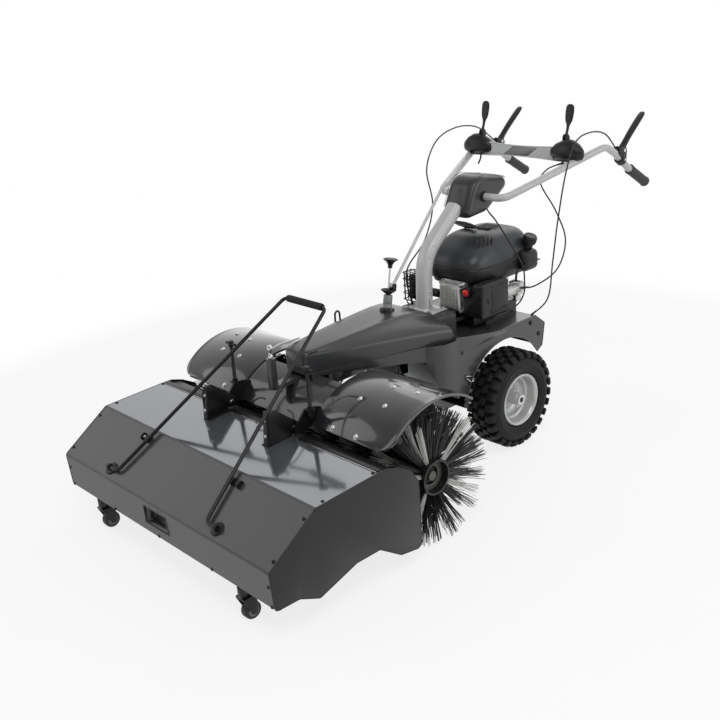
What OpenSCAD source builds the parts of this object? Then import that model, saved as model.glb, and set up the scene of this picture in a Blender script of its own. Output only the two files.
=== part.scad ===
// Walk-behind power brush sweeper with a front dirt collector.
// Millimetres, +Z up, the collector towards -Y and the handlebar towards +Y.

/* [Wheels] */
// Outer radius of a drive wheel over its tread blocks
wheel_r = 165; // [150:1:180]
// Width of a tyre
tyre_w = 112; // [96:1:120]
// Distance from the middle of the machine to a wheel's mid-plane
wheel_x = 215; // [205:1:235]
// Height of the rim flanges above the bead seat
rim_flange_h = 9; // [6:0.5:14]
// Radius on which the tyre beads sit
rim_seat_r = 80; // [76:0.5:83]
// Number of tread blocks on each shoulder
lug_n = 26; // [18:2:34]
// Height of the tread blocks
lug_h = 12; // [8:0.5:16]
// Diameter of the axle
axle_d = 25; // [20:0.5:30]
// Place of the axle along the machine
axle_y = 264; // [244:1:284]

/* [Deck and boom] */
// Width of the deck over its side walls
deck_w = 400; // [390:1:410]
// Height of the deck's top face
deck_z = 405; // [400:1:410]
// Thickness of the deck's sheet metal
deck_t = 4; // [3:0.25:5]
// Radius of the wheel arches
arch_r = 203; // [190:1:215]
// Front edge of the deck
deck_front_y = -24; // [-40:1:0]
// Rear end of the deck
deck_rear_y = 426; // [420:1:440]
// Half-width of the boom tube
boom_hw = 30; // [24:1:36]
// Height of the boom tube
boom_h = 60; // [50:1:70]
// Height of the engine's stand on the deck
stand_h = 50; // [46:1:56]

/* [Hood] */
// Half-width of the hood's nose
nose_hw = 50; // [45:1:60]
// Front of the hood's nose
nose_y = -462; // [-470:1:-455]
// Rear end of the hood
hood_rear_y = 25; // [15:1:32]
// Half-width of the hood's rear end
hood_rear_hw = 191; // [180:1:196]
// Height of the seam under the hood
seam_z = 432; // [430:0.5:436]
// Height of the nose's top
nose_top_z = 500; // [490:1:508]
// Height of the hood's crest
crest_z = 520; // [512:1:526]
// Wall thickness of the hood
hood_wall = 3; // [2.5:0.25:4]

/* [Brush] */
// Radius over the bristle tips
brush_r = 194; // [180:1:198]
// Gap from the bristle tips to the ground
brush_gap = 3; // [2:0.5:8]
// Place of the brush axis along the machine
brush_y = -366; // [-370:1:-362]
// Outer end of each brush half
brush_end_x = 484; // [470:1:487]
// Inner end of each brush half
brush_in_x = 84; // [80:1:96]
// Outer radius of a brush half's core tube
core_r = 52; // [48:0.5:58]
// Wall of the core tube
core_t = 6; // [4:0.5:8]
// Radius of the brush shaft
brush_shaft_r = 14; // [11:0.5:17]
// Rings of tufts on each brush half
tuft_rings = 14; // [10:1:15]
// Tufts in each ring
tufts = 16; // [12:1:16]
// Inner radius of the fenders
fender_r = 240; // [232:1:246]
// Thickness of the fenders
fender_t = 3; // [2:0.5:4]
// Inner end of each fender
fender_in_x = 172; // [171:1:180]
// Outer end of each fender
fender_out_x = 478; // [465:1:482]

/* [Collector] */
// Overall width over the end plates
collector_w = 1000; // [996:1:1020]
// Thickness of the collector's bent sheet
sheet_t = 2; // [1.5:0.25:3]
// Thickness of the end plates
plate_t = 3; // [2:0.5:4]
// Height of the screw heads on the panels
screw_h = 3; // [2:0.5:4]
// Front of the collector
collector_front_y = -989; // [-1000:1:-980]
// Radius of a caster wheel
caster_r = 25; // [22:0.5:30]
// Width of a caster wheel
caster_w = 28; // [22:1:32]
// Distance from a caster to the collector's end
caster_in = 150; // [120:1:180]
// Radius of the bail handle's tube
bail_r = 5.5; // [4.5:0.25:6.5]
// Radius of the bail handle's foam grip
foam_r = 11; // [9:0.5:13]

/* [Post and handlebar] */
// Width of the post
post_w = 52; // [46:1:60]
// Depth of the post
post_d = 45; // [40:1:50]
// Radius of the handlebar tube
bar_r = 12.5; // [11:0.5:14]
// Height of the handlebar's pivot
pivot_z = 812; // [806:1:818]
// Place of the handlebar's pivot along the machine
pivot_y = 344; // [340:1:348]
// Half-width of the head cover
head_hw = 56; // [50:1:62]
// Distance from the middle to a grip
grip_x = 265; // [255:1:275]
// Outer radius of a grip
grip_r = 17; // [15.5:0.5:19]
// Length of a hand lever
lever_len = 172; // [150:1:180]
// Width of a hand lever
lever_w = 24; // [20:1:28]

/* [Engine] */
// Radius of the crankcase
case_r = 88; // [80:1:94]
// Height of the crankcase
case_h = 98; // [94:1:104]
// Radius of the engine's pulley
crank_pulley_r = 45; // [38:1:50]
// Radius of the brush drive's pulley
driven_pulley_r = 54; // [46:1:56]
// Diameter of the fuel cap
cap_d = 48; // [42:1:54]
// Radius of the primer bulb
primer_r = 13; // [11:0.5:15]

/* [Hidden] */
$fn = 48;
rim_r = rim_seat_r + rim_flange_h;
caster_x = collector_w / 2 - caster_in;
// Radial clearance of shafts in their bores
fit = 0.05;
// Running gap between faces that move past each other
gap = 0.4;
axle_r = axle_d / 2;
axle_z = wheel_r;
brush_z = brush_r + brush_gap;
fender_or = fender_r + fender_t;
plate_out_x = collector_w / 2;
plate_in_x = plate_out_x - plate_t;
wedge_a = atan((hood_rear_hw - nose_hw) / (hood_rear_y - nose_y));
deck_hw = deck_w / 2;
deck_under_z = deck_z - deck_t;
stand_z = deck_z + stand_h;
// Floor of the belt channel, which is also the top of the boom tube
floor_z = seam_z - 8;
boom_under_z = floor_z - boom_h;
// Belt plane and engine crank
belt_z = floor_z + 16;
belt_h = 12;
crank = [40, 345];
case_top_z = stand_z + case_h;
// Swivel bearing at the front of the boom
neck_r = 24;
bearing_r = 34;
bearing_low_z = brush_z + 133;
// Swivel lock plunger in front of the nose
plunger_y = nose_y - 88;
plunger_r = 8;
plunger_seat_z = nose_top_z + 2;
strap_z = floor_z - 16;
// Hub of a wheel along its axle, from the mid-plane
hub_in = 40;
hub_out = 44;
hub_r = 21;
collar_t = 12;
end_cap_t = 6;

function unit(v) = v / norm(v);
function left_of(v) = [-v[1], v[0]];
// Point i of a bent line, moved by d to the line's left with mitred corners
function mitre(p, i, d) =
    let (a = i > 0 ? unit(p[i] - p[i - 1]) : unit(p[1] - p[0]))
    let (b = i < len(p) - 1 ? unit(p[i + 1] - p[i]) : a)
    let (m = unit(left_of(a) + left_of(b)))
    p[i] + m * d / (m * left_of(a));
// Outline of a bent sheet between two offsets from its line
function strip(p, d0, d1) = concat(
    [for (i = [0:len(p) - 1]) mitre(p, i, d0)],
    [for (i = [len(p) - 1:-1:0]) mitre(p, i, d1)]);
// Half-width of the hood at a place along the machine
function wedge_x(y) = nose_hw + (y - nose_y) * tan(wedge_a);

// A side view, first number along Y and second along Z, made solid from x0 to x1
module along_x(x0, x1) translate([x0, 0, 0]) rotate([90, 0, 90]) linear_extrude(x1 - x0) children();
module both() {
    children();
    mirror([1, 0, 0]) children();
}
// A round bar along X
module x_bar(x0, x1, y, z, r) translate([x0, y, z]) rotate([0, 90, 0]) cylinder(r = r, h = x1 - x0);
// A round bar between two points
module rod(a, b, r) {
    d = b - a;
    translate(a) rotate([0, acos(d[2] / norm(d)), atan2(d[1], d[0])]) cylinder(r = r, h = norm(d));
}
// A bent tube with ball corners
module pipe(p, r) {
    for (i = [0:len(p) - 2]) rod(p[i], p[i + 1], r);
    for (i = [1:len(p) - 2]) translate(p[i]) sphere(r = r * 1.01);
}

// Wheels
module tread(x0, w, turn, top_r) {
    pitch = 360 / lug_n;
    half = pitch * 0.3;
    low_r = wheel_r - lug_h - 3;
    translate([0, 0, x0]) rotate(turn) linear_extrude(w) difference() {
        polygon([for (i = [0:lug_n - 1], k = [0:3])
            let (a = i * pitch + (k < 2 ? -half : half))
            (k == 0 || k == 3 ? low_r : top_r) * [cos(a), sin(a)]]);
        circle(low_r - 4);
    }
}
module tyre() {
    side = tyre_w / 2;
    seat = side - 12;
    crown = wheel_r - lug_h;
    wall = 8;
    rotate([0, 90, 0]) {
        rotate_extrude() polygon([[rim_seat_r, -seat], [rim_r + 1, -seat], [rim_r + 4, -side + 4],
            [rim_r + 30, -side], [crown - 6, -side + 5], [crown, -side + 20], [crown, side - 20],
            [crown - 6, side - 5], [rim_r + 30, side], [rim_r + 4, side - 4], [rim_r + 1, seat],
            [rim_seat_r, seat], [rim_seat_r, seat - wall], [rim_r + 30, side - wall],
            [crown - wall, side - 20], [crown - wall, 20 - side], [rim_r + 30, wall - side],
            [rim_seat_r, wall - seat]]);
        tread(3, side - 6, 0, wheel_r / cos(0.3 * 360 / lug_n));
        tread(3 - side, side - 6, 180 / lug_n, wheel_r);
    }
}
module rim() {
    edge = tyre_w / 2 - 5;
    flange = 7;
    barrel_r = rim_seat_r - 5;
    web = -12;
    web_t = 6;
    bore = axle_r + fit;
    rotate([0, 90, 0]) rotate_extrude() polygon([[bore, -hub_in], [hub_r, -hub_in], [hub_r, web],
        [barrel_r, web], [barrel_r, -edge], [rim_r, -edge], [rim_r, flange - edge],
        [rim_seat_r, flange - edge], [rim_seat_r, edge - flange], [rim_r, edge - flange], [rim_r, edge],
        [barrel_r, edge], [barrel_r, web + web_t], [hub_r, web + web_t], [hub_r, hub_out],
        [bore, hub_out]]);
}
module right_tyre() color("#1b1c1d") translate([wheel_x, axle_y, axle_z]) tyre();
module left_tyre() mirror([1, 0, 0]) right_tyre();
module right_rim() color("#c3c6c6") translate([wheel_x, axle_y, axle_z]) rim();
module left_rim() mirror([1, 0, 0]) right_rim();
module axle_shaft() color("#9a9da0") {
    end_x = wheel_x + hub_out + gap;
    x_bar(-end_x, end_x, axle_y, axle_z, axle_r);
    both() {
        x_bar(end_x, end_x + end_cap_t, axle_y, axle_z, hub_r - 3);
        x_bar(wheel_x - hub_in - gap - collar_t, wheel_x - hub_in - gap, axle_y, axle_z, hub_r);
    }
}

// Chassis
deck_line = [[deck_front_y, deck_z], [deck_rear_y, deck_z], [deck_rear_y + 51, deck_z - 39],
    [deck_rear_y + 37, deck_z - 119]];
post_y = 95;
post_base_z = deck_z + 70;
post_plate_t = 6;
pedestal_hw = 94;
module wedge_plate() {
    run = (hood_rear_y - nose_y) / cos(wedge_a);
    translate([nose_hw, nose_y, 0]) rotate(90 - wedge_a) rotate([90, 0, 0]) translate([0, 0, -hood_wall])
        linear_extrude(hood_wall)
        polygon([[14, seam_z], [14, seam_z - 8], [run * 0.45, seam_z - 18], [run, seam_z - 60],
            [run, seam_z]]);
}
module chassis_frame() color("#4b5054") difference() {
    union() {
        along_x(-deck_hw, deck_hw) polygon(strip(deck_line, 0, -deck_t));
        both() along_x(deck_hw - deck_t, deck_hw) difference() {
            polygon(concat(deck_line, [[axle_y, axle_z], [axle_y - 184, axle_z + 41],
                [axle_y - 222, axle_z + 41], [deck_front_y, deck_z - 60]]));
            translate([axle_y, axle_z]) circle(arch_r);
        }
        translate([-deck_hw, deck_front_y, deck_z - 60]) cube([deck_w, deck_t, 60]);
        both() wedge_plate();
        translate([0, 0, floor_z]) linear_extrude(hood_wall) polygon([
            for (s = [-1, 1], e = [0, 1])
            let (y = e == (s < 0 ? 0 : 1) ? nose_y + 24 : hood_rear_y)
            [s * (wedge_x(y) - 1), y]]);
        translate([-boom_hw, brush_y, boom_under_z]) cube([2 * boom_hw, 120 - brush_y, boom_h]);
        translate([0, brush_y, bearing_low_z]) cylinder(r = bearing_r, h = floor_z - bearing_low_z);
        translate([-16, plunger_y - 6, strap_z]) cube([32, brush_y - plunger_y, 12]);
        translate([0, plunger_y, strap_z]) cylinder(r = plunger_r + 6, h = plunger_seat_z - strap_z);
        both() translate([pedestal_hw - deck_t, post_y - 50, deck_z]) cube([deck_t, 98, 70]);
        translate([-pedestal_hw, post_y - 50, post_base_z - deck_t]) cube([2 * pedestal_hw, 98, deck_t]);
        both() translate([pedestal_hw + 2, -136, seam_z - 94]) cube([deck_t, 40, floor_z - seam_z + 95]);
        translate([crank[0], crank[1], deck_z]) difference() {
            translate([-80, -80, 0]) cube([160, 160, stand_h]);
            translate([-72, -100, 0]) cube([144, 172, stand_h]);
        }
    }
    translate([0, brush_y, bearing_low_z - 1]) cylinder(r = neck_r + fit, h = 200);
    translate([0, plunger_y, strap_z - 1]) cylinder(r = plunger_r + fit, h = 200);
    translate([crank[0], crank[1], deck_under_z - 1]) cylinder(r = 30, h = deck_t + 2);
}
module carrier_plate() color("#b4bbb6") {
    low_z = axle_z - 40;
    front_y = deck_front_y + deck_t + 2;
    t = 3;
    both() along_x(57, 57 + t) difference() {
        polygon([[front_y, deck_z - 64], [front_y, deck_z - 175], [100, low_z], [axle_y + 26, low_z],
            [axle_y + 26, deck_under_z], [front_y + 40, deck_under_z]]);
        translate([axle_y, axle_z]) circle(axle_r + 4);
    }
    translate([-57 - t, front_y, deck_z - 175]) cube([114 + 2 * t, t, 111]);
}
module drive_gearbox() color("#a9b0ab") difference() {
    union() {
        x_bar(-57, 57, axle_y, axle_z, 62);
        translate([0, axle_y, axle_z]) cylinder(r = 30, h = deck_under_z - axle_z);
    }
    x_bar(-60, 60, axle_y, axle_z, axle_r);
}
module chassis_bolts() color("#8d9194") both()
    for (p = [[46, deck_z - 20], [86, deck_z - 137], [deck_rear_y - 26, deck_z - 20],
        [deck_rear_y + 18, deck_z - 70]])
        x_bar(deck_hw, deck_hw + 5, p[0], p[1], 8);

// Hood, belt and pulleys
hood_edge_r = 12;
module hood_form(r) hull() both() {
    e = hood_edge_r;
    for (p = [[nose_hw - e, nose_y + e, seam_z], [nose_hw - e - 4, nose_y + e + 5, nose_top_z - e],
        [70, -76, crest_z - e], [hood_rear_hw - e, hood_rear_y - e, seam_z],
        [hood_rear_hw - e - 4, hood_rear_y - e, crest_z - 46 - e],
        [100, hood_rear_y - e, crest_z - 17 - e]])
        translate(p) sphere(r = r, $fn = 24);
}
spool_at = [0, -76, crest_z + 1];
spool_lean = -10;
spool_base_r = 24;
module spool_base(r) translate(spool_at) rotate([spool_lean, 0, 0]) translate([0, 0, -24]) cylinder(r = r, h = 32);
module belt_hood() color("#3f4347") difference() {
    hood_form(hood_edge_r);
    hood_form(hood_edge_r - hood_wall);
    translate([-300, nose_y - 50, seam_z - 100]) cube([600, 700, 100]);
    translate([4 - pedestal_hw, hood_rear_y - 40, seam_z - 10]) cube([2 * pedestal_hw - 8, 60, 42]);
    spool_base(spool_base_r);
}
belt_t = 8;
belt_slack = 0.8;
module belt_path(more) hull() {
    translate([0, brush_y]) circle(r = driven_pulley_r + more, $fn = 64);
    translate(crank) circle(r = crank_pulley_r + more, $fn = 64);
}
module drive_belt() color("#202122") translate([0, 0, belt_z - belt_h / 2]) linear_extrude(belt_h) difference() {
    belt_path(belt_slack + belt_t);
    belt_path(belt_slack);
}
pulley_lip = 4;
module pulley(r) {
    half = belt_h / 2 + 1;
    translate([0, 0, belt_z - half]) cylinder(r = r, h = 2 * half);
    for (z = [belt_z - half - pulley_lip, belt_z + half]) translate([0, 0, z]) cylinder(r = r + 5, h = pulley_lip);
}
input_r = 10;
gearbox_hw = 70;
module driven_pulley() color("#6f7376") translate([0, brush_y, 0]) {
    pulley(driven_pulley_r);
    translate([0, 0, brush_z + 66]) cylinder(r = input_r, h = belt_z - brush_z - 66);
}
crank_shaft_r = 12;
module crank_pulley() color("#6f7376") translate([crank[0], crank[1], 0]) {
    pulley(crank_pulley_r);
    translate([0, 0, belt_z]) cylinder(r = crank_shaft_r, h = stand_z + 40 - belt_z);
}

// Post, head, spool and gear lever
post_line = [[post_y, post_base_z + post_plate_t], [post_y + 4.6, deck_z + 188], [post_y + 18.6, deck_z + 242],
    [post_y + 53, deck_z + 286], [pivot_y - 82, pivot_z - 25]];
module post_bar(grow) along_x(-post_w / 2 - grow, post_w / 2 + grow)
    polygon(strip(post_line, post_d / 2 + grow, -post_d / 2 - grow));
module handle_post() color("#b9bcbb") {
    post_bar(0);
    translate([-60, post_y - 42, post_base_z]) cube([120, 90, post_plate_t]);
}
module head_cover() color("#3a3d40") difference() {
    hull() for (c = [[pivot_y - 59, pivot_z - 36, 28], [pivot_y + 1, pivot_z + 6, 64],
        [pivot_y + 96, pivot_z + 26, 28]]) {
        x_bar(10 - head_hw, head_hw - 10, c[0], c[1], c[2], $fn = 40);
        x_bar(-head_hw, head_hw, c[0], c[1], c[2] - 10, $fn = 40);
    }
    post_bar(0);
    x_bar(-head_hw - 1, head_hw + 1, pivot_y, pivot_z, bar_r + fit);
}
shift_pin_r = 4;
shift_pin = [0, spool_at[1] + 18 * cos(10) + 77 * sin(10), spool_at[2] - 18 * sin(10) + 77 * cos(10)];
shift_eye_hw = 5.5;
module shift_spool() color("#8b8f90") {
    spool_base(spool_base_r);
    translate(spool_at) rotate([spool_lean, 0, 0]) {
        translate([0, 0, 6]) cylinder(r = 14, h = 44);
        translate([0, 0, 49]) cylinder(r1 = 7, r2 = 23.6, h = 15);
        translate([0, 0, 63.6]) cylinder(r = 23.4, h = 3);
        translate([0, 0, 60]) cylinder(r = 3.5, h = 78);
        translate([0, 0, 134]) cylinder(r1 = 7, r2 = 23.6, h = 26);
        translate([0, 0, 159.6]) cylinder(r1 = 23.4, r2 = 15, h = 6);
    }
    both() translate(spool_at) rotate([spool_lean, 0, 0]) translate([shift_eye_hw + gap, 8, 60]) cube([4, 18, 24]);
    x_bar(-shift_eye_hw - 2, shift_eye_hw + 2, shift_pin[1], shift_pin[2], shift_pin_r);
}
module shift_lever() color("#77797b") difference() {
    union() {
        x_bar(-shift_eye_hw, shift_eye_hw, shift_pin[1], shift_pin[2], 9);
        pipe([shift_pin + [0, 4, 4], [-30, pivot_y - 108, pivot_z + 42], [-26, pivot_y - 88, pivot_z + 54]], 4);
    }
    x_bar(-20, 20, shift_pin[1], shift_pin[2], shift_pin_r + fit);
}

// Engine
head_y = 147;
module engine_block() color("#8f9294") difference() {
    union() {
        translate([crank[0], crank[1], stand_z]) cylinder(r = case_r, h = case_h);
        translate([crank[0] - 31, head_y + 34, stand_z + 16]) cube([88, 121, 84]);
        for (i = [0:8]) translate([crank[0] - 41, head_y + 36 + 12 * i, stand_z + 8]) cube([104, 4, 98]);
        x_bar(crank[0] + 50, 150, 273, stand_z + 57, 18);
    }
    translate([crank[0], crank[1], stand_z - 1]) cylinder(r = crank_shaft_r + fit, h = 60);
}
module rocker_cover() color("#b7babb") {
    c = [crank[0] + 17, head_y, stand_z + 59];
    translate([c[0], c[1] + 34, c[2]]) rotate([90, 0, 0]) {
        linear_extrude(6) square([96, 104], center = true);
        translate([0, 0, 5]) linear_extrude(26) square([88, 88], center = true);
    }
}
shroud_wall_z = stand_z + 122;
module engine_shroud() color("#44494d") difference() {
    hull() {
        translate([crank[0] - 10, crank[1] + 5, case_top_z]) {
            translate([0, 0, 20]) linear_extrude(60) square([228, 330], center = true);
            linear_extrude(10) square([218, 320], center = true);
        }
        translate([crank[0] - 19, crank[1] + 38, case_top_z + 100]) cylinder(r = 95, h = 40, $fn = 40);
    }
    translate([crank[0] - 44, head_y, case_top_z - 1]) cube([110, 160, 26]);
    translate([tank_x - 0.6, tank_y - 0.6, case_top_z - 1]) cube([60, tank_l + 1.2, tank_top_z + 1.6 - case_top_z]);
    translate(cap_at) rotate([0, cap_lean, 0]) translate([0, 0, -34]) cylinder(r = cap_d / 2 + 1.5, h = 90);
    translate([recoil_at[0], recoil_at[1], case_top_z + 60]) cylinder(r = rope_r + fit, h = 200);
}
recoil_at = [-42, 356];
rope_r = 4;
shroud_top_z = case_top_z + 140;
module recoil_handle() color("#2b2d2f") {
    translate([recoil_at[0], recoil_at[1], shroud_top_z - 50]) cylinder(r = rope_r, h = 56);
    rod([recoil_at[0] - 54, recoil_at[1] + 10, shroud_top_z + 10.4],
        [recoil_at[0] + 54, recoil_at[1] - 10, shroud_top_z + 10.4], 10);
}
tank_x = crank[0] + 80;
tank_y = 405;
tank_l = 95;
tank_top_z = stand_z + 175;
cap_at = [tank_x + 30, 462, tank_top_z + 24];
cap_lean = 22;
neck_out_r = 17;
module fuel_tank() color("#26292b") difference() {
    union() {
        translate([tank_x, tank_y, stand_z + 93]) cube([58, tank_l, tank_top_z - stand_z - 93]);
        translate(cap_at) rotate([0, cap_lean, 0]) translate([0, 0, -34]) cylinder(r = neck_out_r, h = 42);
    }
    translate(cap_at) rotate([0, cap_lean, 0]) translate([0, 0, -16]) cylinder(r = neck_out_r - 4, h = 40);
}
module fuel_cap() color("#1d1e1f") translate(cap_at) rotate([0, cap_lean, 0]) difference() {
    translate([0, 0, -10]) cylinder(r = cap_d / 2, h = 26);
    translate([0, 0, -11]) cylinder(r = neck_out_r + fit, h = 19.4);
}
filter_in_x = 150;
filter_t = 40;
filter_y = 165;
primer_at = [filter_in_x - 27, filter_y, stand_z + 83];
module y_bar(at, y0, y1, r) translate([at[0], y0, at[2]]) rotate([-90, 0, 0]) cylinder(r = r, h = y1 - y0);
module air_filter_box() color("#232527") difference() {
    union() {
        translate([filter_in_x - 44, filter_y, stand_z]) cube([filter_t + 44, 75, 97.4]);
        translate([filter_in_x - 4, filter_y, stand_z + 90]) cube([filter_t + 4, 75, 24]);
        translate([filter_in_x, filter_y + 70, stand_z]) cube([filter_t, 65, 114]);
    }
    y_bar(primer_at, filter_y - 1, filter_y + 18, primer_r + fit);
}
module primer_bulb() color("#a3271f") intersection() {
    translate([primer_at[0], primer_at[1] + 2, primer_at[2]]) sphere(r = primer_r + 1);
    y_bar(primer_at, filter_y - 20, filter_y + 10, primer_r);
}
module carburettor() color("#9b9ea0") {
    translate([filter_in_x + 18, filter_y + 135, stand_z + 56]) rotate([-90, 0, 0]) cylinder(r = 19, h = 91);
    translate([filter_in_x - 2, 352, stand_z + 36]) cube([36, 26, 44]);
}
module muffler_guard() color("#2a2b2c") {
    translate([crank[0] - 172, 126, stand_z + 25]) cube([60, 55, 97]);
    translate([crank[0] - 112, 150, stand_z + 40]) cube([80.6, 30, 40]);
}

// Brush head
front_a = 130;
rear_a = 55;
bar_arc_r = fender_r - 22;
bar_tube_r = 10;
saddle = 20;
saddle_top = sqrt(fender_r * fender_r - saddle * saddle / 4) - 0.1;
saddle_x = [fender_in_x + 24, (fender_in_x + fender_out_x) / 2, fender_out_x - 25];
bolt_r = 4;
bolt_spots = [[fender_in_x + 81, 139.5], [fender_in_x + 174, 139.5], [fender_in_x + 106, 114], [fender_in_x + 199, 113],
    [fender_out_x - 149, 94], [fender_out_x - 68, 92]];
guard_hw = fender_in_x - 2;
arm_x = fender_in_x - 12;
arm_t = 6;
hinge_at = [brush_y - 236, brush_z + 148];
hinge_r = 6;
lock_at = [fender_in_x + 3, brush_y + fender_or * cos(143) - 2];
lock_seat_z = brush_z + 198;
lock_r = 5;
function on_arc(a, r) = [brush_y + r * cos(a), brush_z + r * sin(a)];
module arc_strip(r0, r1, a0, a1) translate([brush_y, brush_z]) intersection() {
    difference() {
        circle(r1, $fn = 96);
        circle(r0, $fn = 96);
    }
    polygon([[0, 0], 2 * r1 * [cos(a0), sin(a0)], 2 * r1 * [cos((a0 + a1) / 2), sin((a0 + a1) / 2)],
        2 * r1 * [cos(a1), sin(a1)]]);
}
// Things set on the arc of the fenders at x and angle a, with their local Y outwards
module at_arc(x, a) translate([x, brush_y, brush_z]) rotate([a, 0, 0]) children();
module shank(x, a, r) at_arc(x, a) translate([0, fender_r - 7, 0]) rotate([-90, 0, 0]) cylinder(r = r, h = fender_t + 9);
module brush_gearbox() color("#a9b0ab") difference() {
    union() {
        x_bar(-gearbox_hw, gearbox_hw, brush_y, brush_z, 62);
        translate([0, brush_y, brush_z]) cylinder(r = neck_r, h = floor_z + 4 - brush_z);
        translate([0, brush_y, brush_z + 40]) cylinder(r = 40, h = bearing_low_z - gap - brush_z - 40);
    }
    x_bar(-80, 80, brush_y, brush_z, brush_shaft_r + fit);
    translate([0, brush_y, brush_z + 65.6]) cylinder(r = input_r + fit, h = 300);
}
module brush_frame() color("#2f3234") difference() {
    union() {
        both() along_x(gearbox_hw, gearbox_hw + 6) difference() {
            translate([brush_y, brush_z]) {
                circle(60);
                for (a = [front_a, rear_a]) rotate(a) translate([30, -18]) square([bar_arc_r - 30, 36]);
            }
            translate([brush_y, brush_z]) circle(brush_shaft_r + 3);
        }
        x_bar(10 - fender_out_x, fender_out_x - 10, on_arc(front_a, bar_arc_r)[0],
            on_arc(front_a, bar_arc_r)[1], bar_tube_r);
        both() {
            x_bar(gearbox_hw, fender_out_x - 10, on_arc(rear_a, bar_arc_r)[0],
                on_arc(rear_a, bar_arc_r)[1], bar_tube_r);
            for (x = saddle_x, a = [front_a, rear_a]) at_arc(x - saddle / 2, a)
                translate([0, bar_arc_r - 6, -saddle / 2]) cube([saddle, saddle_top - bar_arc_r + 6, saddle]);
            at_arc(110, front_a) translate([0, bar_arc_r - 6, -8]) cube([16, fender_r - 3 - bar_arc_r + 6, 16]);
            along_x(arm_x, arm_x + arm_t) polygon([on_arc(front_a, bar_arc_r) + [4, -11], on_arc(front_a, bar_arc_r) + [-10, 21],
                [lock_at[1] + 13, lock_seat_z], [lock_at[1] - 13, lock_seat_z],
                [hinge_at[0] - 13, hinge_at[1] + 6], [hinge_at[0] - 13, hinge_at[1] - 12],
                [hinge_at[0] + 12, hinge_at[1] - 14]]);
            x_bar(arm_x - 30, arm_x + 1, hinge_at[0], hinge_at[1], hinge_r);
            translate([arm_x, lock_at[1] - 12, lock_seat_z - 6]) cube([lock_at[0] - arm_x + 10, 24, 6]);
            translate([lock_at[0], lock_at[1], lock_seat_z - 20]) cylinder(r = 11, h = 20);
        }
        along_x(-guard_hw, guard_hw) arc_strip(fender_r - 4, fender_r - 1, 127, 143);
    }
    both() translate([lock_at[0], lock_at[1], 0]) cylinder(r = lock_r + fit, h = 900);
}
module fenders() color("#36393c") both() difference() {
    union() {
        along_x(fender_in_x, fender_out_x) arc_strip(fender_r, fender_or, 45, 143);
        along_x(fender_out_x - 3, fender_out_x) arc_strip(fender_r - 4, fender_or, 45, 143);
    }
    for (p = bolt_spots) shank(p[0], p[1], bolt_r);
}
module fender_bolts() color("#c9cbcc") both() for (p = bolt_spots) {
    shank(p[0], p[1], bolt_r);
    at_arc(p[0], p[1]) {
        translate([0, fender_or + 0.05, 0]) rotate([-90, 0, 0]) cylinder(r = 9, h = 5);
        translate([0, fender_r - 5.4, 0]) rotate([-90, 0, 0]) cylinder(r = 7, h = 5);
    }
}
module lock_pin() color("#2a2b2d") translate([lock_at[0], lock_at[1], 0]) {
    translate([0, 0, lock_seat_z - 34]) cylinder(r = lock_r, h = 154);
    translate([0, 0, lock_seat_z + gap]) cylinder(r = 9, h = 6);
    translate([0, 0, lock_seat_z + 110]) cylinder(r = 9, h = 17);
}
module right_lock_pin() lock_pin();
module left_lock_pin() mirror([1, 0, 0]) lock_pin();
module swivel_plunger() color("#2a2b2d") translate([0, plunger_y, 0]) {
    translate([0, 0, strap_z + 4]) cylinder(r = plunger_r, h = plunger_seat_z - strap_z);
    translate([0, 0, plunger_seat_z + gap]) cylinder(r = 15, h = 40);
}

// Brush
core_in_r = core_r - core_t;
hub_disc_t = 8;
hub_disc_x = brush_end_x - 44;
module brush_shaft() color("#8c8f92") x_bar(-hub_disc_x - 6, hub_disc_x + 6, brush_y, brush_z, brush_shaft_r);
module hub_discs() color("#585b50") both() difference() {
    for (x = [brush_in_x, hub_disc_x - hub_disc_t]) x_bar(x, x + hub_disc_t, brush_y, brush_z, core_in_r);
    x_bar(0, 600, brush_y, brush_z, brush_shaft_r);
}
module bristle_half() {
    pitch = (brush_end_x - brush_in_x) / tuft_rings;
    ring_t = 8;
    root = 7;
    tip = 4.5;
    step = 360 / tufts;
    translate([0, brush_y, brush_z]) rotate([0, 90, 0]) {
        translate([0, 0, brush_in_x]) difference() {
            cylinder(r = core_r, h = brush_end_x - brush_in_x);
            translate([0, 0, -1]) cylinder(r = core_in_r, h = 600);
        }
        for (k = [0:tuft_rings - 1]) translate([0, 0, brush_in_x + pitch * k + (pitch - ring_t) / 2])
            rotate(k * step * 0.38) linear_extrude(ring_t) for (i = [0:tufts - 1]) rotate(i * step)
            polygon([[core_r - 2, -root / 2], [brush_r - 0.1, -tip / 2], [brush_r - 0.1, tip / 2], [core_r - 2, root / 2]]);
    }
}
module right_bristles() color("#202020") bristle_half();
module left_bristles() color("#202020") mirror([1, 0, 0]) bristle_half();

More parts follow.
